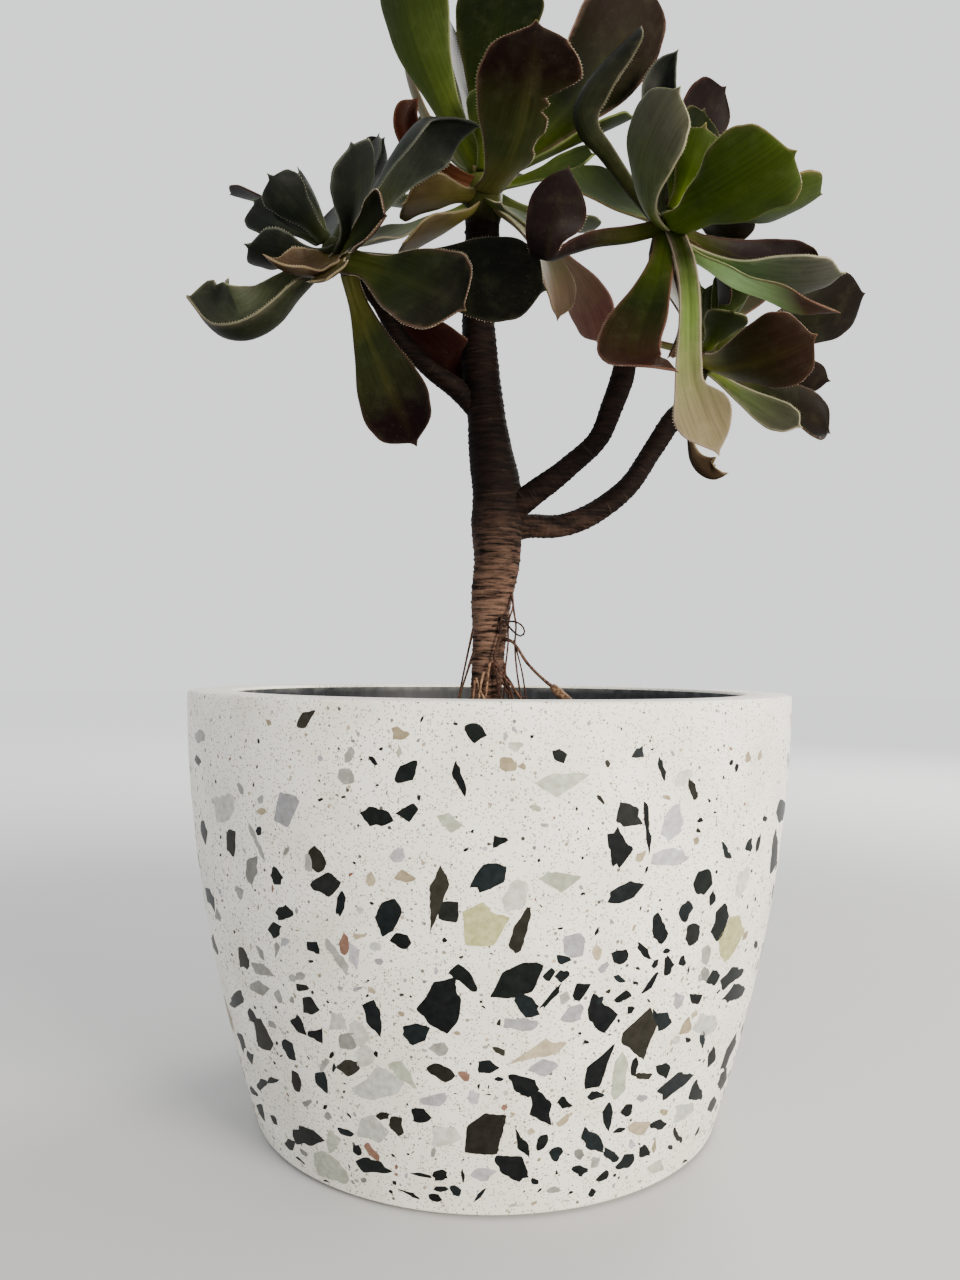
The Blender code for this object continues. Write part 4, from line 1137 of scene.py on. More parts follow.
    def lay_chip(self, skin: Skin, draw: random.Random, outline: list[tuple[float, float]],
                 stone: Stone) -> None:
        """Lay one chip on the side.

        Args:
            skin: the mesh that gathers the chips.
            draw: the source of chance.
            outline: its corners as direction in radians and height.
            stone: its kind.
        """
        edge = []
        for (turn, height), (next_turn, next_height) in zip(outline, outline[1:] + outline[:1]):
            gap = math.hypot((next_turn - turn) * self.outer(height), next_height - height)
            parts = max(1, math.ceil(gap / self.edge_step))
            for part in range(parts):
                share = part / parts
                rough = draw.uniform(-0.5, 0.5) * min(0.8, 0.14 * gap) if part else 0.0
                edge.append((turn + (next_turn - turn) * share + rough / self.outer(height),
                             height + (next_height - height) * share + rough))
        edge = np.array(edge)
        edge += self.corner_round * (0.5 * (np.roll(edge, 1, axis=0) + np.roll(edge, -1, axis=0)) - edge)
        middle = np.mean(edge, axis=0)
        flat = np.concatenate([middle[None, :], middle + (edge - middle) * 0.5, edge])
        radius = np.array([self.outer(height) for height in flat[:, 1]]) + self.proud
        points = np.stack([radius * np.cos(flat[:, 0]), radius * np.sin(flat[:, 0]), flat[:, 1]], axis=1)
        under = points * np.where((1, 1, 0), ((radius - self.proud - self.chip_depth) / radius)[:, None], 1.0)
        count, base = len(edge), len(points)
        pairs = [(1 + side, 1 + (side + 1) % count) for side in range(count)]
        faces = [(0, one, other) for one, other in pairs]
        faces += [(one, count + one, count + other, other) for one, other in pairs]
        faces += [tuple(corner + base for corner in reversed(face)) for face in faces]
        faces += [(count + other, count + one, base + count + one, base + count + other)
                  for one, other in pairs]
        tone = np.array(linear(draw.choice(stone.value))) * draw.uniform(0.9, 1.1)
        skin.add(np.concatenate([points, under]), faces, colours={"tint": np.tile(tone, (2 * base, 1))})

    def photographed(self, skin: Skin, draw: random.Random) -> list[tuple[float, float, float]]:
        """Lay the chips of the front where the photograph has them.

        Args:
            skin: the mesh that gathers the chips.
            draw: the source of chance.

        Returns:
            The middle, as direction and height, and the reach of each chip.
        """
        taken = []
        for chip in FRONT_CHIPS:
            long, short = chip.long * self.chip_scale, chip.short * self.chip_scale
            spots = [self.spot_on_side(CLOSE_CORNER[0] + (chip.across + across) / CLOSE_SCALE,
                                       CLOSE_CORNER[1] + (chip.down - down) / CLOSE_SCALE)
                     for across, down in self.corners(draw, long, short, chip.turn)]
            outline = [spot for spot in spots if spot]
            if len(outline) < 4:
                continue
            middle = np.mean(outline, axis=0)
            size = max(math.hypot((turn - middle[0]) * self.outer(height), height - middle[1])
                       for turn, height in outline)
            if size < self.chip_reach:
                self.lay_chip(skin, draw, outline, chip.stone)
                taken.append((middle[0], middle[1], size))
        return taken

    def by_chance(self, skin: Skin, draw: random.Random, taken: list[tuple[float, float, float]]) -> None:
        """Lay chance chips where there is room: small ones at the front, all sizes elsewhere.

        Args:
            skin: the mesh that gathers the chips.
            draw: the source of chance.
            taken: the middle and reach of each chip that is there already.
        """
        laid = np.zeros((self.loose_chips + len(taken), 3))
        laid[:len(taken)] = taken
        count = len(taken)
        front = math.radians(-90)
        for number in range(self.loose_chips):
            turn, height = draw.uniform(-math.pi, math.pi), draw.uniform(4.0, self.height - 4.0)
            off_front = (turn - front + math.pi) % math.tau - math.pi
            seen = abs(off_front) < math.radians(self.front_half)
            largest, rarity = self.front_sizes if seen else self.far_sizes
            fewer = max(0.1, 1 - 2.4 * number / self.loose_chips)
            size = self.smallest + largest * draw.random() ** rarity * fewer
            long, slim, tilt = size * draw.uniform(1.0, 1.5), draw.uniform(0.3, 0.9), draw.uniform(0, 180)
            dark_share = 0.42 + 0.14 * math.sin(off_front) if seen else 0.5
            stone = draw.choice(DARK_STONES if draw.random() < dark_share else PALE_STONES)
            thick = 0.10 + 0.95 * (1 - height / self.height) ** 0.8
            if draw.random() > thick or (seen and long > self.front_limit):
                continue
            around = (turn - laid[:count, 0] + math.pi) % math.tau - math.pi
            apart = np.hypot(around * self.outer(height), height - laid[:count, 1])
            if np.any(apart < 0.45 * long + 0.82 * laid[:count, 2] + 0.25):
                continue
            radius = self.outer(height)
            outline = [(turn + x / radius, height + y)
                       for x, y in self.corners(draw, long, long * slim, tilt)]
            levels = [level for _, level in outline]
            if min(levels) < self.clear_below or max(levels) > self.height - self.clear_above:
                continue
            laid[count] = turn, height, 0.5 * long
            count += 1
            self.lay_chip(skin, draw, outline, stone)

    def chips(self) -> bpy.types.Object:
        """Lay all chips.

        Returns:
            The finished piece.
        """
        draw = random.Random(self.seed)
        skin = Skin()
        self.by_chance(skin, draw, self.photographed(skin, draw))
        chips = skin.piece("pot_chips", CHIP)
        chips.data.set_sharp_from_angle(angle=math.radians(35))
        return chips

    def build(self) -> None:
        """Make and settle the pot's pieces."""
        for piece in (self.shell(), self.chips()):
            settle(piece, "pot")


# Potting mix


@dataclass
class LooseMix:
    """The potting mix: a solid that fills the pot, with crumbs lying on it."""
    pot: Planter
    top: float = 148.0
    gap: float = 0.3
    bump: float = 2.2
    flat_edge: float = 6.0
    sides: int = 128
    rings: int = 52
    crumb_margin: float = 5.0
    trunk_room: float = 11.5
    guide_sides: int = 40
    guide_rings: int = 14
    seed: int = 7

    def height(self, x: np.ndarray, y: np.ndarray) -> np.ndarray:
        """Height of the uneven top above or below its mean.

        Args:
            x: places to the right.
            y: places to the back.

        Returns:
            The heights.
        """
        wide = 0.5 * np.sin(x / 11.0 + 1.3) * np.cos(y / 9.0) + 0.5 * np.sin((x + y) / 6.5) * np.cos(
            (x - y) / 14.0 + 0.6)
        fine = 0.35 * np.sin(x * 1.1 + 2.0 * np.sin(y * 0.7)) * np.sin(y * 0.9 + 1.7 * np.sin(x * 0.5))
        return self.bump * wide + fine

    def top_ring(self, radius: float, edge: float, sides: int) -> np.ndarray:
        """A ring on the uneven top, which lies level along its edge.

        Args:
            radius: the ring's radius.
            edge: the radius of the top's edge.
            sides: points in the ring.

        Returns:
            The points.
        """
        points = ring(radius, self.top, sides)
        points[:, 2] += self.height(*points[:, :2].T) * min(1.0, (edge - radius) / self.flat_edge)
        return points

    def body(self) -> bpy.types.Object:
        """Make the solid under the crumbs.

        Returns:
            The finished piece.
        """
        pot = self.pot
        edge = pot.outer(self.top) - pot.wall - self.gap
        rings = [self.top_ring(edge * (step / self.rings) ** 0.8, edge, self.sides)
                 for step in range(1, self.rings + 1)]
        low = pot.floor + pot.inside_corner
        rings += [ring(pot.outer(height) - pot.wall - self.gap, height, self.sides)
                  for height in np.linspace(self.top - 4, low, 12)]
        rings.append(ring(pot.outer(low) - pot.wall - pot.inside_corner, pot.floor + self.gap, self.sides))
        skin = Skin()
        skin.add(np.concatenate(rings), ring_faces(len(rings), self.sides))
        return skin.piece("mix_body", PEAT)

    def crumb_tree(self) -> GrownTree:
        """Make the tree that scatters small angular crumbs over a surface.

        Returns:
            The tree.
        """
        tree = GrownTree("scattered_crumbs", {"Density": "Float", "Smallest": "Float", "Largest": "Float",
                                              "Flatness": "Float", "Seed": "Int"})
        spots = tree.put(Node.SCATTER, "Geometry", "Density", "Seed")
        jolt = tree.put(Node.NOISE, None, 1.3, 1.0).node.outputs["Color"]
        shift = tree.put(Node.SHIFTED, jolt, (0.5, 0.5, 0.5))
        crumb = tree.put(Node.MOVED, tree.put(Node.BALL, 0.5, 2), shift)
        turn = tree.put(Node.ANY_TURN, (math.tau, math.tau, math.tau), "Seed")
        size = tree.put(Node.CHANCE, "Smallest", "Largest", "Seed")
        shape = tree.put(Node.THREE, size, tree.put(Node.TIMES, size, "Flatness"), size)
        placed = tree.put(Node.PLACED, spots, crumb, turn, shape)
        tree.close(tree.put(Node.KEPT, placed, "shade", tree.put(Node.CHANCE, 0.55, 1.3, 5)))
        return tree

    def crumbs(self, name: str, tree: GrownTree, density: float, ends: tuple[float, float],
               flatness: float, tone: str, seed: int) -> bpy.types.Object:
        """Scatter one kind of crumb.

        Args:
            name: the piece's name.
            tree: the scattering tree.
            density: crumbs for each square metre.
            ends: smallest and largest size.
            flatness: thickness as a share of the size.
            tone: hex colour.
            seed: number for its chances.

        Returns:
            The crumbs as one piece.
        """
        edge = self.pot.outer(self.top) - self.pot.wall
        skin = Skin()
        skin.add(np.concatenate([self.top_ring(radius, edge, self.guide_sides) for radius in np.linspace(
            self.trunk_room, edge - self.crumb_margin, self.guide_rings)]),
            ring_faces(self.guide_rings, self.guide_sides, capped=False))
        guide = skin.piece(name + "_guide", CRUMB, turn_out=False)
        piece = tree.grow(guide, {"Density": density, "Smallest": ends[0] * MM, "Largest": ends[1] * MM,
                                  "Flatness": flatness, "Seed": seed, "Finish": CRUMB.material()}, name)
        mesh = piece.data
        shade = np.empty(len(mesh.vertices))
        mesh.attributes["shade"].data.foreach_get("value", shade)
        tint = np.array(linear(tone)) * np.stack([shade] * 3 + [np.ones(len(shade))], axis=1)
        mesh.attributes.remove(mesh.attributes["shade"])
        mesh.color_attributes.new("tint", 'FLOAT_COLOR', 'POINT').data.foreach_set("color", tint.ravel())
        return piece

    def build(self) -> None:
        """Make and settle the mix and its crumbs."""
        tree = self.crumb_tree()
        pieces = [self.body(),
                  self.crumbs("mix_bark_crumbs", tree, 15000, (2.2, 6.5), 0.55, "#4a3527", self.seed),
                  self.crumbs("mix_fine_crumbs", tree, 30000, (1.0, 2.6), 0.8, "#33261d", self.seed + 1),
                  self.crumbs("mix_pumice", tree, 3600, (1.6, 4.2), 0.85, "#b9b1a2", self.seed + 2)]
        for piece in pieces:
            settle(piece, "soil")


# Stem


@dataclass(frozen=True)
class Strand:
    """A thin aerial root: its course on the photograph, its radii and its colour."""
    course: tuple[tuple[float, float, float], ...]
    radii: tuple[float, ...]
    tone: str = "#4a2f24"
    buried: bool = True


TRUNK = ((-2, 0, 150, 7.8), (-1, 0, 169, 7.2), (0, 0, 194, 7.4), (1, 0, 211, 8.7), (3, 0, 229, 10.4),
         (3, 0, 243, 11.3), (3, 0, 255, 10.7), (1, 0, 270, 10.0), (-2, 0, 290, 8.7), (-4, 0, 307, 8.2),
         (-6, 1, 334, 7.2), (-5, 2, 355, 7.6))
BRANCHES = {
    "left": ((-3, 0, 292, 4.5), (-16, -4, 303, 4.3), (-26, -9, 309, 3.9), (-39, -14, 321, 3.8)),
    "right": ((4, 0, 246, 5.0), (16, -3, 255, 5.2), (33, -7, 268, 4.8), (46, -11, 280, 4.5),
              (51, -13, 293, 4.7), (55, -15, 304, 4.9), (58, -17, 322, 4.4)),
    "low": ((4, 2, 240, 5.0), (15, 5, 244, 5.3), (31, 10, 245, 5.1), (47, 15, 252, 5.0),
            (62, 20, 264, 4.9), (74, 24, 281, 4.6), (84, 28, 297, 4.6)),
}
STRANDS = (
    Strand(((504, 639, -5), (511, 641, -9), (528, 664, -15), (544, 680, -22), (554, 688, -27)),
           (1.0, 0.7, 0.65, 0.7, 0.8), "#5a4132", buried=False),
    Strand(((553, 687, -27), (558, 692, -30), (564, 697, -33), (569, 702, -36)), (1.5, 1.9, 1.7, 1.8),
           "#8a6a4e"),
    Strand(((511, 592, -4), (513, 606, -8), (509, 620, -9), (508, 644, -10), (505, 672, -11),
            (504, 690, -12)), (0.6, 0.4, 0.4, 0.4, 0.4, 0.4)),
    Strand(((512, 594, -4), (514, 612, -8), (516, 626, -9), (515, 640, -10), (517, 672, -13),
            (520, 692, -15)), (0.6, 0.45, 0.4, 0.4, 0.4, 0.4)),
    Strand(((514, 640, -10), (516, 648, -11), (522, 672, -14), (526, 698, -17)), (0.4, 0.35, 0.35, 0.4)),
    Strand(((494, 626, -8), (506, 622, -9), (516, 622, -11), (523, 627, -12), (524.5, 633, -12),
            (521, 636, -12), (514, 632, -11), (506, 623, -9), (500, 618, -7)),
           (0.5, 0.4, 0.4, 0.4, 0.4, 0.4, 0.4, 0.45, 0.6), "#2e1c16", buried=False),
    Strand(((501, 620, -8), (500, 634, -8.4), (496, 648, -8.6), (494, 658, -9), (500, 668, -10),
            (512, 684, -15), (518, 697, -18)), (0.5, 0.45, 0.45, 0.5, 0.45, 0.4, 0.4), "#3a241c"),
    Strand(((494, 662, -9), (502, 674, -12), (509, 686, -15), (513, 698, -17)), (0.7, 0.5, 0.45, 0.45),
           "#5b3a2b"),
    Strand(((495, 664, -9), (505, 678, -13), (515, 690, -18), (520, 698, -20)), (0.6, 0.45, 0.45, 0.45),
           "#6b4836"),
    Strand(((493, 663, -9), (497, 678, -10), (499, 692, -11)), (0.6, 0.5, 0.5), "#4a2f24"),
    Strand(((490, 662, -9), (488, 676, -9.5), (486, 694, -10)), (0.6, 0.55, 0.5), "#7a5a45"),
    Strand(((484, 672, -9), (481, 684, -10), (479, 697, -11)), (0.6, 0.5, 0.5), "#8a6b52"),
    Strand(((476, 678, -9), (479, 688, -10), (484, 698, -11)), (0.5, 0.45, 0.45), "#8f7058"),
    Strand(((475, 680, -9), (474, 690, -9.5), (473, 698, -10)), (0.6, 0.5, 0.5), "#6b4d3a"),
    Strand(((503, 678, -8), (508, 688, -12), (513, 697, -15)), (0.5, 0.4, 0.4), "#3a241c"),
    Strand(((502, 683, -6), (510, 690, -10), (523, 698, -14)), (0.5, 0.4, 0.4), "#553627"),
)


@dataclass
class Stem:
    """Trunk, branches and aerial roots."""
    ring_step: float = 0.75
    trunk_sides: int = 84
    branch_sides: int = 48
    branch_flare: float = 1.6
    root_sides: int = 8
    root_step: float = 1.6
    far_roots: int = 9
    far_tones: tuple[str, ...] = ("#4a2f24", "#6b4836", "#7a5a45")
    scar_step: float = 1.15
    scar_wide: float = 95.0
    scar_thick: float = 0.8
    scar_rise: float = 0.62
    bud_every: int = 7
    soil_top: float = 148.0
    buried: float = 12.0
    seed: int = 21

    def course(self, knots: tuple, spacing: float) -> np.ndarray:
        """Lay a smooth course through knots.

        Args:
            knots: three coordinates and a radius each.
            spacing: about how far apart its points lie.

        Returns:
            Its points and their radii.
        """
        rows = np.array(knots, float)
        along = way_along(rows)
        count = max(4, round(along[-1] / spacing))
        return flow(along, rows, np.linspace(0, along[-1], count + 1))

    def scars(self, rows: np.ndarray, sides: int, draw: random.Random) -> tuple[np.ndarray, np.ndarray]:
        """Relief and paleness of the leaf scars, which wind round the stem in the leaves' own spiral.

        Args:
            rows: the stem's course.
            sides: points in a ring.
            draw: the source of chance.

        Returns:
            The relief in millimetres and the paleness from 0 to 1, for each ring and side.
        """
        along = way_along(rows)
        turns = np.degrees(round_turns(sides))
        relief, pale = np.zeros((len(rows), sides)), np.zeros((len(rows), sides))
        spot, number = 0.0, 0
        while spot < along[-1]:
            middle = (GOLDEN_ANGLE * number + draw.uniform(-14, 14)) % 360
            wide = self.scar_wide * draw.uniform(0.7, 1.25)
            off = (turns - middle + 180) % 360 - 180
            inside = np.clip(1 - (off / wide) ** 2, 0, None)
            droop = 0.9 * (1 - inside)
            rise = along[:, None] - spot + droop[None, :]
            line = np.exp(-(rise / (0.5 * self.scar_thick)) ** 2) * inside[None, :] ** 0.5
            bud = np.exp(-((along[:, None] - spot - 0.5) / 0.6) ** 2) * np.exp(-(off[None, :] / 6) ** 2)
            bud *= number % self.bud_every == 0
            relief = np.maximum(relief, line * draw.uniform(0.4, 1.0) + 0.7 * bud)
            pale = np.maximum(pale, line * draw.uniform(0.15, 0.75) + 0.4 * bud)
            spot += self.scar_step * draw.uniform(0.7, 1.3)
            number += 1
        return (relief - 0.35) * self.scar_rise, np.clip(pale, 0, 1)

    def limb(self, name: str, knots: tuple, sides: int, flare: float, seed: int) -> bpy.types.Object:
        """Trunk or branch with its scars.

        Args:
            name: the piece's name.
            knots: its course.
            sides: points in a ring.
            flare: how much thicker it is where it leaves what carries it.
            seed: number for its chances.

        Returns:
            The finished piece.
        """
        rows = self.course(knots, self.ring_step)
        along = way_along(rows)
        rows[:, 3] += flare * np.exp(-along / 7)
        relief, pale = self.scars(rows, sides, random.Random(seed))
        gentle = np.minimum(1.0, rows[:, 3:4] / 8)
        turns = round_turns(sides)
        knobs = 0.25 * np.sin(along[:, None] / 9 + 2 * turns[None, :]) + 0.2 * np.sin(
            along[:, None] / 5.3 - 3 * turns[None, :] + seed)
        skin = Skin()
        skin.add(tube(rows, sides, (relief + knobs) * gentle), ring_faces(len(rows), sides),
                 numbers={"scar": pale.ravel()})
        return skin.piece(name, BARK)

    def far_root(self, draw: random.Random) -> list[tuple[float, ...]]:
        """Hang one aerial root round the far side.

        Args:
            draw: the source of chance.

        Returns:
            Its knots.
        """
        turn = math.radians(draw.uniform(5, 175))
        start = draw.uniform(156, 205)
        reach = draw.uniform(12, 26)
        away = Vector((math.cos(turn), math.sin(turn), 0.0))
        drop = start - self.soil_top
        return [(*(away * out + Vector((-1, 0, height))), radius) for out, height, radius in (
            (5.5, start, 0.7), (7 + 0.3 * (reach - 7), start - 0.35 * drop, 0.45),
            (7 + 0.75 * (reach - 7), start - 0.75 * drop, 0.4), (reach, 150.0, 0.45))]

    def into_mix(self, knots: list[tuple[float, ...]]) -> list[tuple[float, ...]]:
        """Lead a root on in its last direction until it is in the potting mix.

        Args:
            knots: its knots.

        Returns:
            Its knots with one more.
        """
        end = np.array(knots[-1])
        step = end - np.array(knots[-2])
        drop = (end[2] - (self.soil_top - 5)) / max(0.2 * np.linalg.norm(step[:3]), -step[2])
        return [*knots, (*(end[:3] + step[:3] * max(drop, 0.1)), knots[-1][3])]

    def roots(self) -> bpy.types.Object:
        """Make the aerial roots: those of the photograph, and a few more round the far side.

        Returns:
            The finished piece.
        """
        skin = Skin()
        draw = random.Random(self.seed)
        strands = [([(*VIEW.at_depth(*spot), radius) for spot, radius in zip(strand.course, strand.radii)],
                    strand.tone, strand.buried) for strand in STRANDS]
        strands += [(self.far_root(draw), draw.choice(self.far_tones), True) for _ in range(self.far_roots)]
        for knots, tone, buried in strands:
            rows = self.course(tuple(self.into_mix(knots) if buried else knots), self.root_step)
            rows[:, 3] *= 1 + np.array([draw.uniform(-0.08, 0.08) for _ in rows])
            shade = np.array([draw.uniform(0.7, 1.25) for _ in range(self.root_sides)])
            tint = np.tile(np.array(linear(tone)), (len(rows), self.root_sides, 1)) * shade[None, :, None]
            skin.add(tube(rows, self.root_sides), ring_faces(len(rows), self.root_sides),
                     colours={"tint": tint.reshape(-1, 4)})
        return skin.piece("aerial_roots", ROOT)

    def build(self, heads: dict[str, "LeafHead"]) -> None:
        """Make and settle the stem's pieces, each branch reaching into its head.

        Args:
            heads: the leaf heads by name.
        """
        below = (-2, 0, self.soil_top - self.buried, 7.6)
        knots = (below, *TRUNK, *heads["top"].stalk_end())
        pieces = [self.limb("stem_trunk", knots, self.trunk_sides, 0.0, 3)]
        for number, (name, knots) in enumerate(BRANCHES.items()):
            pieces.append(self.limb(f"stem_branch_{name}", (*knots, *heads[name].stalk_end()),
                                    self.branch_sides, self.branch_flare, 31 + number))
        pieces.append(self.roots())
        for piece in pieces:
            settle(piece, "stem")


# Leaf heads


class Tint(Enum):
    """Leaf colourings: near the root, in the middle of the blade, at the tip, and along the rim; many are set
    darker than the leaves' own colour, as painted shade.
    """
    SLATE = ("#32371f", "#20241d", "#191b18", "#42443d")
    # Near-black middle and tip: painted shade.
    SHADED_INK = ("#1b200b", "#080a03", "#060603", "#201f17")
    ASH = ("#40432a", "#3a3f2e", "#1d1f18", "#5d5848")
    SOOT = ("#272a12", "#1c1f11", "#0c0d06", "#3d392d")
    FOREST = ("#3c4218", "#1d240f", "#0f0f08", "#47362d")
    TONGUE = ("#5d5a20", "#262b12", "#0a0202", "#2a1d17")
    WAVY = ("#483d21", "#3a2e23", "#372a1e", "#71624d")
    RUSTY = ("#281d0e", "#280e0a", "#1c0807", "#3f261d")
    BACKLIT = ("#4b5719", "#354213", "#293310", "#595c3c")
    # Pale rim: partly the leaf's own margin, partly a painted sheen along the edge.
    DEEP = ("#384409", "#0c1201", "#1c140e", "#8a6d62")
    UMBER = ("#6c6936", "#31371a", "#0d0301", "#4b372d")
    BRIGHT = ("#485514", "#354010", "#25300f", "#5d653a")
    OLIVE = ("#585424", "#494121", "#3a301e", "#605541")
    STRAW = ("#646638", "#5d583b", "#554638", "#685848")
    DEAD = ("#462716", "#301208", "#220e08", "#3b2114")
    BLUSH = ("#828060", "#836e57", "#6e4a40", "#85605a")
    SAGE = ("#5b6929", "#465032", "#3f3f32", "#7f7965")
    FROST = ("#5b6929", "#535e48", "#4b4b42", "#8a8470")
    LIME = ("#4d5f13", "#2e3d08", "#2e3b0d", "#68593e")
    MOSS = ("#252f03", "#0f1700", "#0a1000", "#36341c")
    PLUM = ("#262a06", "#150d0d", "#110908", "#2e1b17")
    # Bright root and middle: painted sunlight.
    SUNLIT_PETAL = ("#93b060", "#a3cb83", "#371f11", "#4f3a30")
    # Lighter middle and tip: partly the leaf's own colour, partly painted sunlight.
    SUNLIT_PALE = ("#1c2405", "#4f612c", "#675e46", "#75665b")
    CURL = ("#273106", "#101603", "#22110b", "#4c322a")
    HUSK = ("#3b2c1c", "#312017", "#281811", "#3e2e23")
    WINE = ("#6b6926", "#2b280e", "#22150d", "#53382f")
    DUSK = ("#2c3009", "#111204", "#110a05", "#32251c")
    SPROUT = ("#4d591a", "#2d3811", "#252c11", "#4c4b30")


# How far along a leaf each of its colours lies, from its root to its tip.
TINT_STOPS = (0.0, 0.16, 0.46, 0.67, 0.85)


@dataclass(frozen=True)
class Nick:
    """A bite out of a leaf's edge: on which side, where along it, how long and how deep."""
    side: int
    share: float
    reach: float
    depth: float


@dataclass(frozen=True)
class Blade:
    """One leaf: where it points, its size, how it bends and its colouring."""
    bearing: float
    lift: float
    length: float
    width: float
    tint: Tint
    bend: float = 0.0
    roll: float = 0.0
    cup: float = 20.0
    twist: float = 0.0
    sweep: float = 0.0
    splay: float = 0.0
    wave: float = 0.5
    # Share of the upper colour kept on the lower side: painted shade.
    underside_shade: float = 0.85
    nicks: tuple[Nick, ...] = ()

    def direction(self) -> Vector:
        """The direction in which it leaves its head."""
        bearing, lift = math.radians(self.bearing), math.radians(self.lift)
        level = math.cos(lift)
        return Vector((level * math.cos(bearing), level * math.sin(bearing), math.sin(lift)))


@dataclass(frozen=True)
class Traced:
    """A leaf that folds or curls, followed knot by knot.

    A knot is a place of the midrib, the width of the half on the side where its course crossed with its
    facing points, the width of the other half, and how far each of them folds up.
    """
    tint: Tint
    face: tuple[float, float, float]
    face_knot: int
    knots: tuple[tuple[float, ...], ...]
    cup: float = 20.0
    splay: float = 0.0
    wave: float = 0.5
    # Share of the upper colour kept on the lower side: painted shade.
    underside_shade: float = 0.85
    nicks: tuple[Nick, ...] = ()

    @property
    def length(self) -> float:
        """The midrib's length."""
        return float(way_along(np.array(self.knots))[-1])

    def direction(self) -> Vector:
        """The direction in which it leaves its head."""
        return (Vector(self.knots[1][:3]) - Vector(self.knots[0][:3])).normalized()


LEFT_LEAVES = (
    Traced(Tint.SLATE, (0.5, -0.5, -0.7), 5, (
        (-62, -25, 354, 4, 4, 20, 20), (-55, -32, 363, 6, 5, 35, 40), (-46, -37, 374, 9, 7, 40, 50),
        (-39.5, -40, 384, 14, 11, 42, 55), (-34, -42, 391, 18, 13, 45, 60),
        (-28.5, -42, 396.5, 19, 11, 45, 60), (-21.5, -41, 398.5, 17, 5, 40, 50),
        (-14, -39, 399.5, 9, 2, 30, 30), (-7.5, -38, 398.5, 1, 1, 0, 0))),
    Blade(-68, -8, 58, 23, Tint.FOREST, bend=-5, roll=28, cup=40),
    Blade(-66, 6, 60, 23, Tint.SLATE, bend=35, roll=-2, sweep=-8),
    Blade(22, 64, 51, 15, Tint.SLATE, bend=19, roll=25, twist=-8),
    Blade(51, 64, 62, 15, Tint.SLATE, roll=-65),
    Blade(165, 30, 34, 27, Tint.SLATE, bend=12, roll=-15),
    Blade(144, 40, 68, 15, Tint.PLUM, bend=-23, roll=71),
    Blade(-137, -31, 38, 25, Tint.SLATE, bend=55, cup=28),
    Traced(Tint.ASH, (0, -0.64, 0.77), 5, (
        (-66, -25, 350, 4, 4, 20, 20), (-74, -30, 338, 8, 6, 28, 26), (-80, -33, 329, 13, 10, 30, 34),
        (-85, -36, 320, 19, 13, 34, 38), (-91.5, -37, 314.5, 22.5, 13, 40, 38),
        (-99, -37, 312, 24, 12, 42, 36), (-106.5, -36, 313.5, 22, 8, 34, 34),
        (-113.5, -35, 318.5, 17, 3, 20, 30), (-119, -33, 325.5, 12, 1.5, 10, 10),
        (-122.5, -32, 330, 1, 1, 0, 0)),
        # Its lower side is painted in deep shade.
        cup=40, splay=1.7, wave=0.35, underside_shade=0.3, nicks=(Nick(1, 0.9, 0.02, 0.2),)),
    Traced(Tint.WAVY, (0.2, -0.55, 0.8), 3, (
        (-66, -26, 350, 4, 4, 20, 20), (-67.5, -36, 341, 9, 5, 35, 25), (-73, -43, 335.5, 11, 6, 40, 30),
        (-78.5, -48, 334.5, 10, 6, 40, 30), (-83, -51, 335.5, 6, 4, 30, 20), (-86.5, -53, 338, 1, 1, 0, 0)),
        cup=25, wave=0.9),
    Blade(-90, -38, 36, 17, Tint.OLIVE, bend=10, roll=-20, cup=24),
    Blade(-52, -65, 83, 28, Tint.TONGUE, bend=-25, twist=-30),
    Blade(-52, -24, 77, 34, Tint.FOREST, bend=-22, roll=6, wave=1.1),
    Blade(-22, -12, 83, 34, Tint.SHADED_INK, bend=-15, roll=42, cup=10),
    Blade(33, -32, 66, 26, Tint.RUSTY, bend=-12, roll=8),
)
TOP_LEAVES = (
    Blade(-155, 53, 94, 34, Tint.BACKLIT, bend=22, roll=41, sweep=28, cup=28),
    Blade(6, 87, 88, 38, Tint.MOSS, bend=-4, roll=18, sweep=-9, cup=10),
    Blade(0, 38, 101, 41, Tint.DEEP, bend=-10, roll=-64, sweep=-37),
    Blade(-74, -13, 91, 38, Tint.UMBER, bend=70, sweep=-9, cup=8,
          nicks=(Nick(-1, 0.72, 0.075, 0.52), Nick(-1, 0.56, 0.12, 0.42), Nick(-1, 0.93, 0.03, 0.1))),
    Blade(-7, 22, 66, 24, Tint.BRIGHT, roll=21, twist=-9, cup=25),
    Blade(-20, 2, 47, 20, Tint.BRIGHT, bend=17, roll=49, cup=27),
    Blade(-130, -20, 45, 25, Tint.OLIVE, roll=33, sweep=-16),
    Blade(-125, -40, 58, 24, Tint.OLIVE, bend=15, roll=31, cup=12),
    Blade(-171, -28, 56, 24, Tint.SAGE, bend=10, roll=-35, twist=11, wave=1.0),
    Blade(-61, -31, 52, 22, Tint.SPROUT, bend=-14, roll=-8, cup=26),
    Blade(155, 44, 84, 25, Tint.STRAW, bend=45, roll=25),
    Blade(133, 67, 84, 25, Tint.SLATE, bend=15, roll=36),
    Traced(Tint.DEAD, (0.2, -0.9, -0.3), 3, (
        (-8, -2, 392, 4, 4, 10, 10), (-18, -8, 392.5, 5, 5, 20, 20), (-27, -14, 395.5, 6, 6, 30, 30),
        (-33.5, -17, 400.5, 7, 7, 30, 30), (-37, -18, 407.5, 7.5, 7.5, 30, 30), (-36, -18, 415, 6, 6, 30, 30),
        (-33, -18, 420, 1, 1, 0, 0)), cup=35, wave=0.8),
    Blade(-24, -36, 62, 24, Tint.STRAW, bend=-68, roll=15, cup=26),
    Blade(24, -21, 81, 29, Tint.BLUSH, bend=-53, roll=25, twist=-42, cup=14),
)
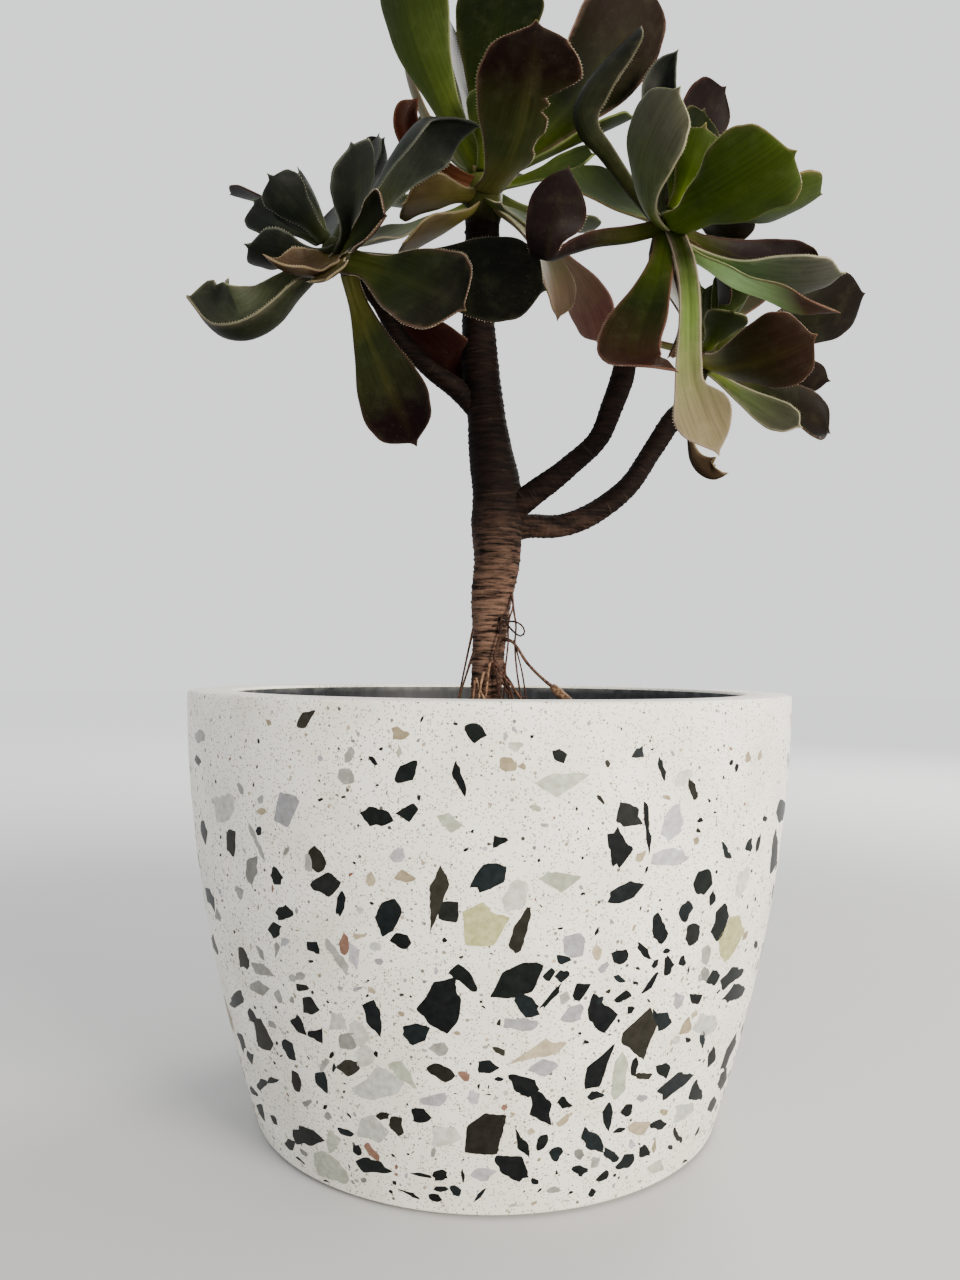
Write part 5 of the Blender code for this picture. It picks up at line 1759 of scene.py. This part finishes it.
RIGHT_LEAVES = (
    Traced(Tint.SOOT, (1, 0.1, 0.2), 4, (
        (68, -22, 367, 4, 4, 10, 10), (52.5, -28, 381, 5, 5, 20, 25), (43, -34, 389, 5.5, 6, 28, 38),
        (34.5, -38, 395.5, 8, 8.5, 30, 45), (32, -40, 403, 10, 11, 32, 48),
        (34.5, -40, 410.5, 11, 12, 32, 48), (40, -39, 419, 11, 11, 30, 45), (49, -37, 430, 9, 9, 28, 38),
        (56, -35, 438, 5, 5, 20, 20), (58.5, -34, 441, 1, 1, 0, 0)), cup=35),
    Blade(-126, -3, 72, 28, Tint.SAGE, bend=100, roll=-32, cup=25),
    Blade(79, 59, 76, 27, Tint.PLUM, bend=52, roll=31, sweep=-7, cup=17),
    Traced(Tint.SLATE, (-0.3, -0.95, 0), 2, (
        (73, -19, 368, 4, 4, 20, 20), (73.5, -6, 390, 6, 6, 35, 35), (72.5, -3, 409.5, 9.5, 9.5, 40, 40),
        (73, -2, 426.5, 10.5, 10.5, 36, 36), (74, -4, 438, 9, 9, 30, 30), (75.5, -8, 443, 5.5, 5.5, 20, 20),
        (77.5, -12, 445, 1, 1, 0, 0)), cup=25),
    Blade(-82, -15, 75, 38, Tint.LIME, bend=52, roll=-31, sweep=15, twist=17, cup=37, wave=0.9),
    Blade(16, 12, 75, 29, Tint.LIME, bend=15, roll=-31, cup=30),
    Blade(41, 23, 55, 22, Tint.DUSK, bend=-40, roll=-20, sweep=11, cup=23),
    Blade(-20, 74, 38, 25, Tint.MOSS, bend=5, roll=50),
    Blade(-21, -39, 73, 28, Tint.FROST, bend=54, roll=-6, twist=-10, wave=0.9),
    Blade(23, -12, 69, 26, Tint.PLUM, bend=40, roll=62, sweep=-12, cup=45),
    Blade(-37, -42, 80, 24, Tint.SUNLIT_PETAL, bend=26, roll=-33, twist=38, cup=8, wave=0.9),
    Traced(Tint.PLUM, (-0.1, 0.95, -0.1), 6, (
        (71, -22, 364, 5.5, 5.5, 30, 30), (55, -33, 355, 5.5, 5.5, 48, 48),
        (39.5, -44, 348, 5.5, 5.5, 48, 48), (28, -55, 340, 6.5, 5, 40, 36), (20.5, -63, 335, 8, 3.5, 20, 12),
        (20.5, -68.5, 338.5, 9.5, 4.5, 8, 5), (22.5, -70.5, 346, 11, 10, 8, 5),
        (24, -69.5, 354, 10.5, 10.5, 5, 5), (25.5, -67.5, 361, 7, 7, 5, 5),
        (27, -65, 366.5, 1, 1, 0, 0)), cup=18),
    Traced(Tint.CURL, (-0.1, -0.9, 0.3), 2, (
        (72, -24, 362, 4.5, 4.5, 10, 10), (68, -32, 345.5, 5, 5, 10, 10), (63.5, -40, 331, 8, 6.5, 10, 10),
        (59, -47, 318.5, 11.5, 8.5, 8, 8), (54, -53, 308.5, 12.5, 10, 4, 4),
        (52, -59, 300.5, 12.5, 10.5, 0, 0), (53, -65, 295.5, 11, 10, 0, 0), (56.5, -69.5, 293.5, 9, 8, 0, 0),
        (61, -72, 292, 6.5, 6, 0, 0), (65, -73, 290, 1, 1, 0, 0)), cup=6),
    Traced(Tint.SUNLIT_PALE, (0, -1, 0), 4, (
        (74.5, -25, 362, 4, 4, 10, 10), (76.5, -32, 350, 4, 4, 10, 10), (77.5, -38, 337, 4, 4, 10, 10),
        (77.5, -42, 323.5, 4.3, 4, 10, 10), (77, -45, 310.5, 4.8, 4, 12, 12),
        (77, -46.5, 300.5, 6.5, 4, 14, 20), (78, -47.5, 291, 8.5, 4.5, 14, 25),
        (80, -48, 284.5, 11, 10, 12, 15), (82, -49, 277.5, 12, 10.5, 10, 10),
        (84.5, -49.5, 271.5, 8, 7, 5, 5), (86.5, -50, 266, 1, 1, 0, 0)), cup=8, wave=0.8),
    Blade(-40, -66, 52, 16, Tint.HUSK, bend=-50, roll=-32, cup=15),
    Blade(23, -11, 45, 18, Tint.DUSK, bend=-72, roll=30),
    Blade(125, 30, 69, 26, Tint.LIME, bend=31, roll=-31),
)
LOW_LEAVES = (
    Blade(-85, -27, 72, 33, Tint.WINE, bend=84, roll=-32, twist=-9, cup=24),
    Blade(6, 14, 86, 32, Tint.DUSK, bend=22, roll=-58, sweep=-8, twist=-8),
    Blade(11, -23, 72, 27, Tint.DUSK, bend=-9, roll=59, cup=34),
    Blade(23, -3, 73, 16, Tint.DUSK, roll=-79),
    Blade(-27, -44, 57, 14, Tint.SAGE, bend=21, roll=78, sweep=10),
    Traced(Tint.WAVY, (1, 0, 0), 1, (
        (98, 31, 325, 3, 3, 10, 10), (94, 24, 313, 2.4, 2.4, 10, 10), (91.5, 21, 298.5, 2, 2, 10, 10),
        (91, 20, 285, 2.6, 2.6, 20, 20), (92, 19, 276.5, 6, 6, 50, 50), (95, 17, 271, 9.5, 9.5, 60, 60),
        (100, 15, 268, 9, 9, 55, 55), (105, 13, 269.5, 1, 1, 0, 0)), cup=30),
    Blade(-86, 4, 38, 18, Tint.SPROUT, bend=7, roll=5),
)


@dataclass
class LeafHead:
    """One leaf head: a short core with its leaves and their fringe of fine hairs."""
    name: str
    centre: tuple[float, float, float]
    axis: tuple[float, float, float]
    stalk: float
    blades: tuple[Blade | Traced, ...]
    seed: int
    far_tint: Tint
    young_tint: Tint
    core_tone: str
    core_swell: float = 1.2
    core_below: float = 15.0
    core_above: float = 7.0
    core_sides: int = 28
    gap: float = 0.3
    far_turns: int = 22
    young: int = 5
    root_spread: float = 8.0
    thick_root: float = 3.2
    thick_tip: float = 1.2
    thick_edge: float = 0.9
    groove: float = 0.5
    mucro: float = 2.2
    crease: float = 0.12
    steps: int = 14
    lanes: int = 15
    rows: int = 34
    hair_spacing: float = 1.25
    hair_lengths: tuple[float, float] = (0.35, 0.75)
    outline: tuple[tuple[float, float], ...] = (
        (0.0, 0.34), (0.25, 0.34), (0.48, 0.62), (0.70, 0.95), (0.87, 0.96), (0.965, 0.58), (1.0, 0.12))

    def heading(self) -> Vector:
        """The direction the head faces."""
        return Vector(self.axis).normalized()

    def stalk_end(self) -> tuple[tuple[float, ...], ...]:
        """Find where the stem that carries the head ends.

        Returns:
            The stem's last knots.
        """
        tip = Vector(self.centre) - self.heading() * (self.core_below + self.gap)
        return ((*(tip - self.heading() * 7.0), self.stalk), (*tip, self.stalk),
                (*(tip + self.heading() * 4.0), self.stalk - 0.4))

    def off_axis(self, spin: float, tilt: float) -> Vector:
        """Turn the head's direction away.

        Args:
            spin: the turn about the head's axis, in degrees.
            tilt: how far it tilts away from that axis, in degrees.

        Returns:
            The direction.
        """
        axis = self.heading()
        level = axis.orthogonal().normalized()
        tilted = Quaternion(axis.cross(level), math.radians(tilt)) @ axis
        return Quaternion(axis, math.radians(spin)) @ tilted

    def spiral(self) -> list[Blade]:
        """Place the far side's leaves and the young ones, along the golden-angle spiral, as in the frame.

        Returns:
            The leaves.
        """
        draw = random.Random(self.seed)
        placed = [blade.direction() for blade in self.blades]
        added = []

        def free(along: Vector, apart: float) -> bool:
            """Whether a direction is at least so many degrees from every leaf's."""
            return all(along.angle(other) >= math.radians(apart) for other in placed)

        def aimed(along: Vector, length: float, width: float, tint: Tint, bend: float, cup: float) -> None:
            """Add a leaf that leaves the head in a direction."""
            bearing, lift = math.degrees(math.atan2(along.y, along.x)), math.degrees(math.asin(along.z))
            added.append(Blade(bearing, lift, length, width, tint, bend=bend, cup=cup))

        for number in range(self.far_turns):
            spin = GOLDEN_ANGLE * number + draw.uniform(-6.0, 6.0)
            length, width, bend = draw.uniform(66.0, 80.0), draw.uniform(24.0, 28.0), draw.uniform(10.0, 30.0)
            along = self.off_axis(spin, 20.0 + 75.0 * number / self.far_turns)
            if along.y > 0.5 and free(along, 26.0):
                placed.append(along)
                aimed(along, length, width, self.far_tint, bend, 22.0)
        for number in range(self.young):
            along = self.off_axis(GOLDEN_ANGLE * number + 40.0, 22.0 + 5.0 * number)
            if free(along, 20.0):
                aimed(along, 20.0 + 3.0 * number, 13.0 + 1.2 * number, self.young_tint, 25.0, 35.0)
        return added

    def midrib(self, blade: Blade) -> tuple[np.ndarray, np.ndarray, np.ndarray]:
        """Walk along a leaf's midrib in the same steps as the frame's solid.

        Args:
            blade: the leaf.

        Returns:
            The share of the length, the place and the facing direction at each step.
        """
        axis = self.heading()
        along = blade.direction()
        facing = Quaternion(along, math.radians(blade.roll)) @ (axis - along * axis.dot(along)).normalized()
        spot = Vector(self.centre) + along * (0.5 * self.stalk) + axis * (self.root_spread * axis.dot(along))
        shares, spots, facings = [0.0], [spot.copy()], [facing.copy()]
        share = 0.0
        for station, _ in self.outline[1:]:
            pieces = math.ceil((station - share) * self.steps)
            step = (station - share) / pieces
            for piece in range(pieces):
                spot = spot + along * (blade.length * step)
                more = 0.4 + 1.2 * (share + (piece + 0.5) * step)
                turn = Quaternion(along.cross(facing), math.radians(blade.bend) * more * step)
                along, facing = turn @ along, turn @ facing
                along = Quaternion(facing, math.radians(blade.sweep) * more * step) @ along
                facing = Quaternion(along, math.radians(blade.twist) * step) @ facing
                facing = (facing - along * facing.dot(along)).normalized()
                shares.append(share + (piece + 1) * step)
                spots.append(spot.copy())
                facings.append(facing.copy())
            share = station
        return np.array(shares), np.array(spots), np.array(facings)

    def spoon(self, blade: Blade, shares: np.ndarray) -> tuple[np.ndarray, ...]:
        """Sections of a plainly bent leaf.

        Args:
            blade: the leaf.
            shares: shares of its length.

        Returns:
            The place, the facing, the widths of both halves and their folds at each share.
        """
        known, spots, facings = self.midrib(blade)
        xs, ys = np.array(self.outline).T
        widths = np.clip(flow(xs, ys, shares), 0.03, None)
        return (flow(known, spots, shares), flow(known, facings, shares),
                0.5 * blade.width * np.repeat(widths, 2, axis=1), np.zeros((len(shares), 2)))

    def followed(self, blade: Traced, shares: np.ndarray) -> tuple[np.ndarray, ...]:
        """Sections of a leaf that is followed knot by knot.

        Args:
            blade: the leaf.
            shares: shares of its length.

        Returns:
            The place, the facing, the widths of both halves and their folds at each share.
        """
        known = way_along(np.array(blade.knots)) / blade.length
        rows = flow(known, np.array(blade.knots), shares)
        ahead = unit(np.gradient(rows[:, :3], axis=0))
        facing = np.zeros_like(ahead)
        middle = int(np.argmin(np.abs(shares - known[blade.face_knot])))
        for course in (range(middle, len(shares)), range(middle, -1, -1)):
            face = np.array(blade.face, float)
            for row in course:
                face = face - ahead[row] * (face @ ahead[row])
                face /= np.linalg.norm(face)
                facing[row] = face
        return rows[:, :3], facing, np.clip(rows[:, 3:5], 0.3, None), np.radians(rows[:, 5:7])

    def across(self, lane: np.ndarray, halves: np.ndarray, folds: np.ndarray,
               cup: float) -> tuple[np.ndarray, np.ndarray, np.ndarray]:
        """Unroll each section from the midrib outwards.

        Args:
            lane: where the lanes lie, from -1 at one rim to 1 at the other.
            halves: half width at each station and lane.
            folds: fold in radians at each station and lane.
            cup: how far each half turns up from midrib to rim, in radians.

        Returns:
            How far to the side and how high each lane lies, and its tilt.
        """
        size = np.abs(lane)
        tilt = folds * np.clip(size / self.crease, 0, 1) + cup * size
        out, rise = np.zeros_like(halves), np.zeros_like(halves)
        middle = len(lane) // 2
        for step, last in ((1, len(lane) - 1), (-1, 0)):
            for at in range(middle, last, step):
                mean = 0.5 * (tilt[:, at] + tilt[:, at + step])
                gap = abs(size[at + step] - size[at]) * halves[:, at + step]
                out[:, at + step] = out[:, at] + gap * np.cos(mean)
                rise[:, at + step] = rise[:, at] + gap * np.sin(mean)
        return out * np.sign(lane), rise, tilt * np.sign(lane)

    def leaf(self, blade: Blade | Traced, draw: random.Random, skin: Skin, rims: list) -> None:
        """Loft one leaf into the head's mesh.

        Args:
            blade: the leaf.
            draw: the source of chance.
            skin: the mesh that gathers the head.
            rims: gathers each leaf's rim points and outward directions.
        """
        main = 1 - (1 - np.linspace(0, 1, self.rows)) ** 1.35
        sections = self.followed(blade, main) if isinstance(blade, Traced) else self.spoon(blade, main)
        centre, facing, halves, folds = (np.concatenate([rows, np.repeat(rows[-1:], 3, axis=0)])
                                         for rows in sections)
        ahead = unit(np.gradient(sections[0], axis=0))
        ahead = np.concatenate([ahead, np.repeat(ahead[-1:], 3, axis=0)])
        shares = np.concatenate([main, np.linspace(1, 1 + self.mucro / blade.length, 4)[1:]])
        inside = np.minimum(shares, 1.0)
        beyond = (shares - inside)[:, None] * blade.length
        centre = centre + ahead * beyond + facing * (beyond * beyond * -0.12 / self.mucro)
        facing = unit(facing - ahead * np.sum(facing * ahead, axis=1, keepdims=True))
        side = np.cross(ahead, facing)
        halves[self.rows:] *= np.array([0.55, 0.25, 0.08])[:, None]
        lane = np.sin(np.linspace(-math.pi / 2, math.pi / 2, self.lanes))
        size = np.abs(lane)[None, :]
        other = (lane < 0).astype(int)
        reach = self.bitten(blade, halves[:, other], shares, lane)
        out_by, rise, turn = self.across(lane, reach, folds[:, other], math.radians(blade.cup))
        phase, swing = draw.uniform(0, math.tau), draw.uniform(2.0, 3.2)
        wave = math.tau * swing * shares[:, None] + phase + 1.7 * np.sign(lane)[None, :]
        wave = blade.wave * size ** 2.5 * np.sin(wave) * np.clip(reach / 12, 0, 1)
        slip = blade.splay * (inside - 0.5)[:, None] * reach * size
        out = spread(facing, np.cos(turn)) - spread(side, np.sin(turn))
        place = (centre[:, None, :] + spread(side, out_by) + spread(facing, rise) + out * wave[:, :, None]
                 + spread(ahead, slip))
        middle = self.thick_root + (self.thick_tip - self.thick_root) * inside
        middle[self.rows:] *= np.array([0.6, 0.4, 0.2])
        edge = np.minimum(self.thick_edge, middle)
        thick = edge[:, None] + (middle - edge)[:, None] * (1 - size ** 1.5)
        groove = self.groove * np.exp(-(lane / 0.14) ** 2)[None, :] * (1 - inside)[:, None]
        upper = place + out * (thick / 2 - groove)[:, :, None]
        lower = place - out * (thick / 2)[:, :, None]
        brink = []
        for end, sign in ((-1, 1), (0, -1)):
            tilt = np.abs(turn[:, end])[:, None]
            outward = side * (sign * np.cos(tilt)) + facing * np.sin(tilt)
            brink.append((place[:, end] + outward * (0.45 * edge)[:, None], outward))
        rings = np.concatenate([upper, brink[0][0][:, None, :], lower[:, ::-1], brink[1][0][:, None, :]],
                               axis=1)
        self.dress(blade, draw, skin, rings, shares, lane, reach)
        rims += [(points[4:self.rows], outward[4:self.rows]) for points, outward in brink]

    def bitten(self, blade: Blade | Traced, reach: np.ndarray, shares: np.ndarray,
               lane: np.ndarray) -> np.ndarray:
        """Take the bites out of a leaf's edge.

        Args:
            blade: the leaf.
            reach: half width at each station and lane.
            shares: the stations' shares of the length.
            lane: where the lanes lie across.

        Returns:
            What is left of the half widths.
        """
        ragged = 1 + 0.16 * np.sin(shares * 95) + 0.1 * np.sin(shares * 230)
        for nick in blade.nicks:
            bite = nick.depth * np.exp(-((shares - nick.share) / nick.reach) ** 4)
            reach = reach * np.where(lane[None, :] * nick.side > 0, 1 - bite[:, None] * ragged[:, None], 1.0)
        return reach

    def dress(self, blade: Blade | Traced, draw: random.Random, skin: Skin, rings: np.ndarray,
              shares: np.ndarray, lane: np.ndarray, reach: np.ndarray) -> None:
        """Colour one leaf and add it to the head's mesh.

        Args:
            blade: the leaf.
            draw: the source of chance.
            skin: the mesh that gathers the head.
            rings: its points, one row for each station.
            shares: the stations' shares of the length.
            lane: where the lanes of points lie across.
            reach: half width at each station and lane.
        """
        def wrapped(over: np.ndarray, under: np.ndarray, ends: tuple[np.ndarray, np.ndarray]) -> np.ndarray:
            """Values of a ring's points: the upper side, one rim, the lower side, the other rim."""
            return np.concatenate([over, ends[0], under[:, ::-1], ends[1]], axis=1)

        inside = np.minimum(shares, 1.0)
        root, middle, tip, rim = (np.array(linear(code)) for code in blade.tint.value)
        warm = draw.uniform(0.9, 1.12)
        stops = np.array([root, root, middle, 0.5 * (middle + tip), tip])
        along = np.stack([np.interp(inside, TINT_STOPS, channel) for channel in stops.T], axis=1) * warm
        top = np.repeat(along[:, None, :], len(lane), axis=1)
        vein = np.exp(-(lane / 0.12) ** 2)[None, :, None] * (0.28 - 0.28 * inside)[:, None, None]
        top = top * (1 - vein) + root * 1.1 * vein
        # The lower side is the upper side's colour made darker, as painted shade.
        tint = wrapped(top, blade.underside_shade * top, (top[:, -1:], top[:, :1]))
        inward = reach * (1 - np.abs(lane)[None, :])
        inward = np.minimum(inward, ((shares[-1] - shares) * blade.length * 0.9)[:, None] + 0.1)
        none = np.zeros((len(shares), 1))
        depth = wrapped(inward, inward, (none, none))
        shift = draw.uniform(0, 50)
        across = reach * lane[None, :] / 100
        across = wrapped(across, across, (across[:, -1:], across[:, :1])) + shift
        length = np.repeat((shares * blade.length / 100)[:, None], rings.shape[1], axis=1) + shift
        skin.add(rings.reshape(-1, 3), ring_faces(*rings.shape[:2]),
                 colours={"tint": tint.reshape(-1, 4), "edge": np.tile(rim, (depth.size, 1))},
                 numbers={"inward": depth.ravel()},
                 flat=np.stack([across.ravel(), length.ravel()], axis=1))

    def core(self, skin: Skin) -> None:
        """Add the short green stem that carries the leaves.

        Args:
            skin: the mesh that gathers the head.
        """
        radius = self.stalk + self.core_swell
        levels = np.array([(-self.core_below, self.stalk - 0.2), (-0.75 * self.core_below, radius - 0.4),
                           (-0.4 * self.core_below, radius), (0.5 * self.core_above, radius),
                           (0.85 * self.core_above, 0.8 * radius), (self.core_above, 0.45 * radius)])
        spots = np.array(self.centre) + np.array(self.heading()) * levels[:, :1]
        rows = np.concatenate([spots, levels[:, 1:]], axis=1)
        share = np.linspace(0, 1, len(levels))[:, None]
        # The lower end takes the bark's skin tone, which carries painted shade under the heads.
        tones = np.array(linear(BARK.skin)) * (1 - share) + np.array(linear(self.core_tone)) * share
        tones = np.repeat(tones, self.core_sides, axis=0)
        skin.add(tube(rows, self.core_sides), ring_faces(len(levels), self.core_sides),
                 colours={"tint": tones, "edge": tones},
                 numbers={"inward": np.full(len(tones), 9.0)}, flat=np.zeros((len(tones), 2)))

    def fringe(self, rims: list, tree: GrownTree) -> bpy.types.Object:
        """Grow fine hairs out of the leaves' rims.

        Args:
            rims: each rim's points and outward directions.
            tree: the tree that grows them.

        Returns:
            The hairs as one piece.
        """
        name = f"leaf_hairs_{self.name}"
        mesh = bpy.data.meshes.new(name + "_guide")
        edges, start = [], 0
        for part, _ in rims:
            edges += [(start + step, start + step + 1) for step in range(len(part) - 1)]
            start += len(part)
        mesh.from_pydata((np.concatenate([part for part, _ in rims]) * MM).tolist(), edges, [])
        outward = np.concatenate([way for _, way in rims])
        mesh.attributes.new("outward", 'FLOAT_VECTOR', 'POINT').data.foreach_set("vector", outward.ravel())
        shortest, longest = self.hair_lengths
        return tree.grow(show(name + "_guide", mesh), {
            "Spacing": self.hair_spacing * MM, "Shortest": shortest, "Longest": longest, "Seed": self.seed,
            "Finish": HAIR.material()}, name)

    def build(self, tree: GrownTree) -> None:
        """Make and settle the head and its fringe.

        Args:
            tree: the tree that grows the fringe.
        """
        skin = Skin()
        rims = []
        self.core(skin)
        for number, blade in enumerate([*self.blades, *self.spiral()]):
            self.leaf(blade, random.Random(self.seed * 100 + number), skin, rims)
        for piece in (skin.piece(f"leaves_{self.name}", LEAF), self.fringe(rims, tree)):
            settle(piece, f"head_{self.name}")


def hair_tree() -> GrownTree:
    """Make the tree that stands small spikes along edges, each pointing outward from its leaf.

    Returns:
        The tree, whose hair lengths are shares of a millimetre.
    """
    tree = GrownTree("rim_hairs", {"Spacing": "Float", "Shortest": "Float", "Longest": "Float",
                                   "Seed": "Int"})
    spots = tree.put(Node.SPACED, tree.put(Node.LINE, "Geometry"), "Spacing")
    spike = tree.put(Node.SPIKE, 3, 0.0, 0.09 * MM, MM)
    turn = tree.put(Node.AIMED, tree.put(Node.VECTOR_OF, "outward"))
    size = tree.put(Node.CHANCE, "Shortest", "Longest", "Seed")
    tree.close(tree.put(Node.PLACED, spots, spike, turn, tree.put(Node.THREE, 1.0, 1.0, size)))
    return tree


HEADS = (
    LeafHead("left", (-64, -24, 352), (-0.75, -0.25, 0.75), 3.7, LEFT_LEAVES, 11, Tint.SLATE, Tint.SLATE,
             "#2e321a"),
    LeafHead("top", (-4.4, 2, 391.5), (0.0, -0.1, 1.0), 7.4, TOP_LEAVES, 12, Tint.BACKLIT, Tint.BRIGHT,
             "#464d1d"),
    LeafHead("right", (73, -20, 365.6), (0.25, -0.15, 0.95), 4.2, RIGHT_LEAVES, 13, Tint.LIME, Tint.LIME,
             "#3b4722"),
    LeafHead("low", (100, 34, 330), (0.3, -0.1, 0.95), 4.5, LOW_LEAVES, 14, Tint.WINE, Tint.SPROUT,
             "#2f2d19"),
)


# Studio


@dataclass
class Studio:
    """Plain pale floor, soft light and the photograph's viewpoint."""
    floor_radius: float = 6000.0
    floor_sides: int = 96
    sky_tone: str = "#e6e7e9"
    sky_strength: float = 1.68

    def lamp(self, name: str, place: tuple[float, float, float], target: tuple[float, float, float],
             size: float, power: float, tone: str) -> None:
        """Add a square soft light that shines from one place towards another.

        Args:
            name: its name.
            place: where it stands, in metres.
            target: where it points, in metres.
            size: its side, in metres.
            power: its power in watts.
            tone: its hex colour.
        """
        light = bpy.data.lights.new(name, 'AREA')
        light.size = size
        light.energy = power
        light.color = linear(tone)[:3]
        made = show(name, light)
        made.location = place
        made.rotation_euler = (Vector(target) - Vector(place)).to_track_quat('-Z', 'Y').to_euler()

    def build(self) -> None:
        """Add the floor, the lights, the surroundings and the camera."""
        skin = Skin()
        skin.add(ring(self.floor_radius, 0.0, self.floor_sides), [tuple(range(self.floor_sides))])
        floor = skin.piece("studio_floor", FLOOR, turn_out=False)
        world = bpy.data.worlds.new("studio")
        world.use_nodes = True
        sky = world.node_tree.nodes["Background"]
        feed(world.node_tree, sky.inputs["Color"], self.sky_tone)
        feed(world.node_tree, sky.inputs["Strength"], self.sky_strength)
        bpy.context.scene.world = world
        self.lamp("key_light", (0.85, -0.95, 0.42), (0.0, 0.0, 0.03), 0.5, 36.0, "#fff6e8")
        self.lamp("back_light", (0.8, 1.1, 1.2), (0.0, 0.0, 0.38), 0.7, 22.0, "#fffdf6")
        VIEW.camera()


def main() -> None:
    """Build the whole scene, one sub-assembly after another."""
    logging.basicConfig(level=logging.INFO, format="%(name)s %(message)s")
    Studio().build()
    pot = Planter()
    pot.build()
    LooseMix(pot).build()
    heads = {head.name: head for head in HEADS}
    Stem().build(heads)
    hairs = hair_tree()
    for head in heads.values():
        head.build(hairs)
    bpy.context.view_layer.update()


if __name__ == "__main__":
    main()
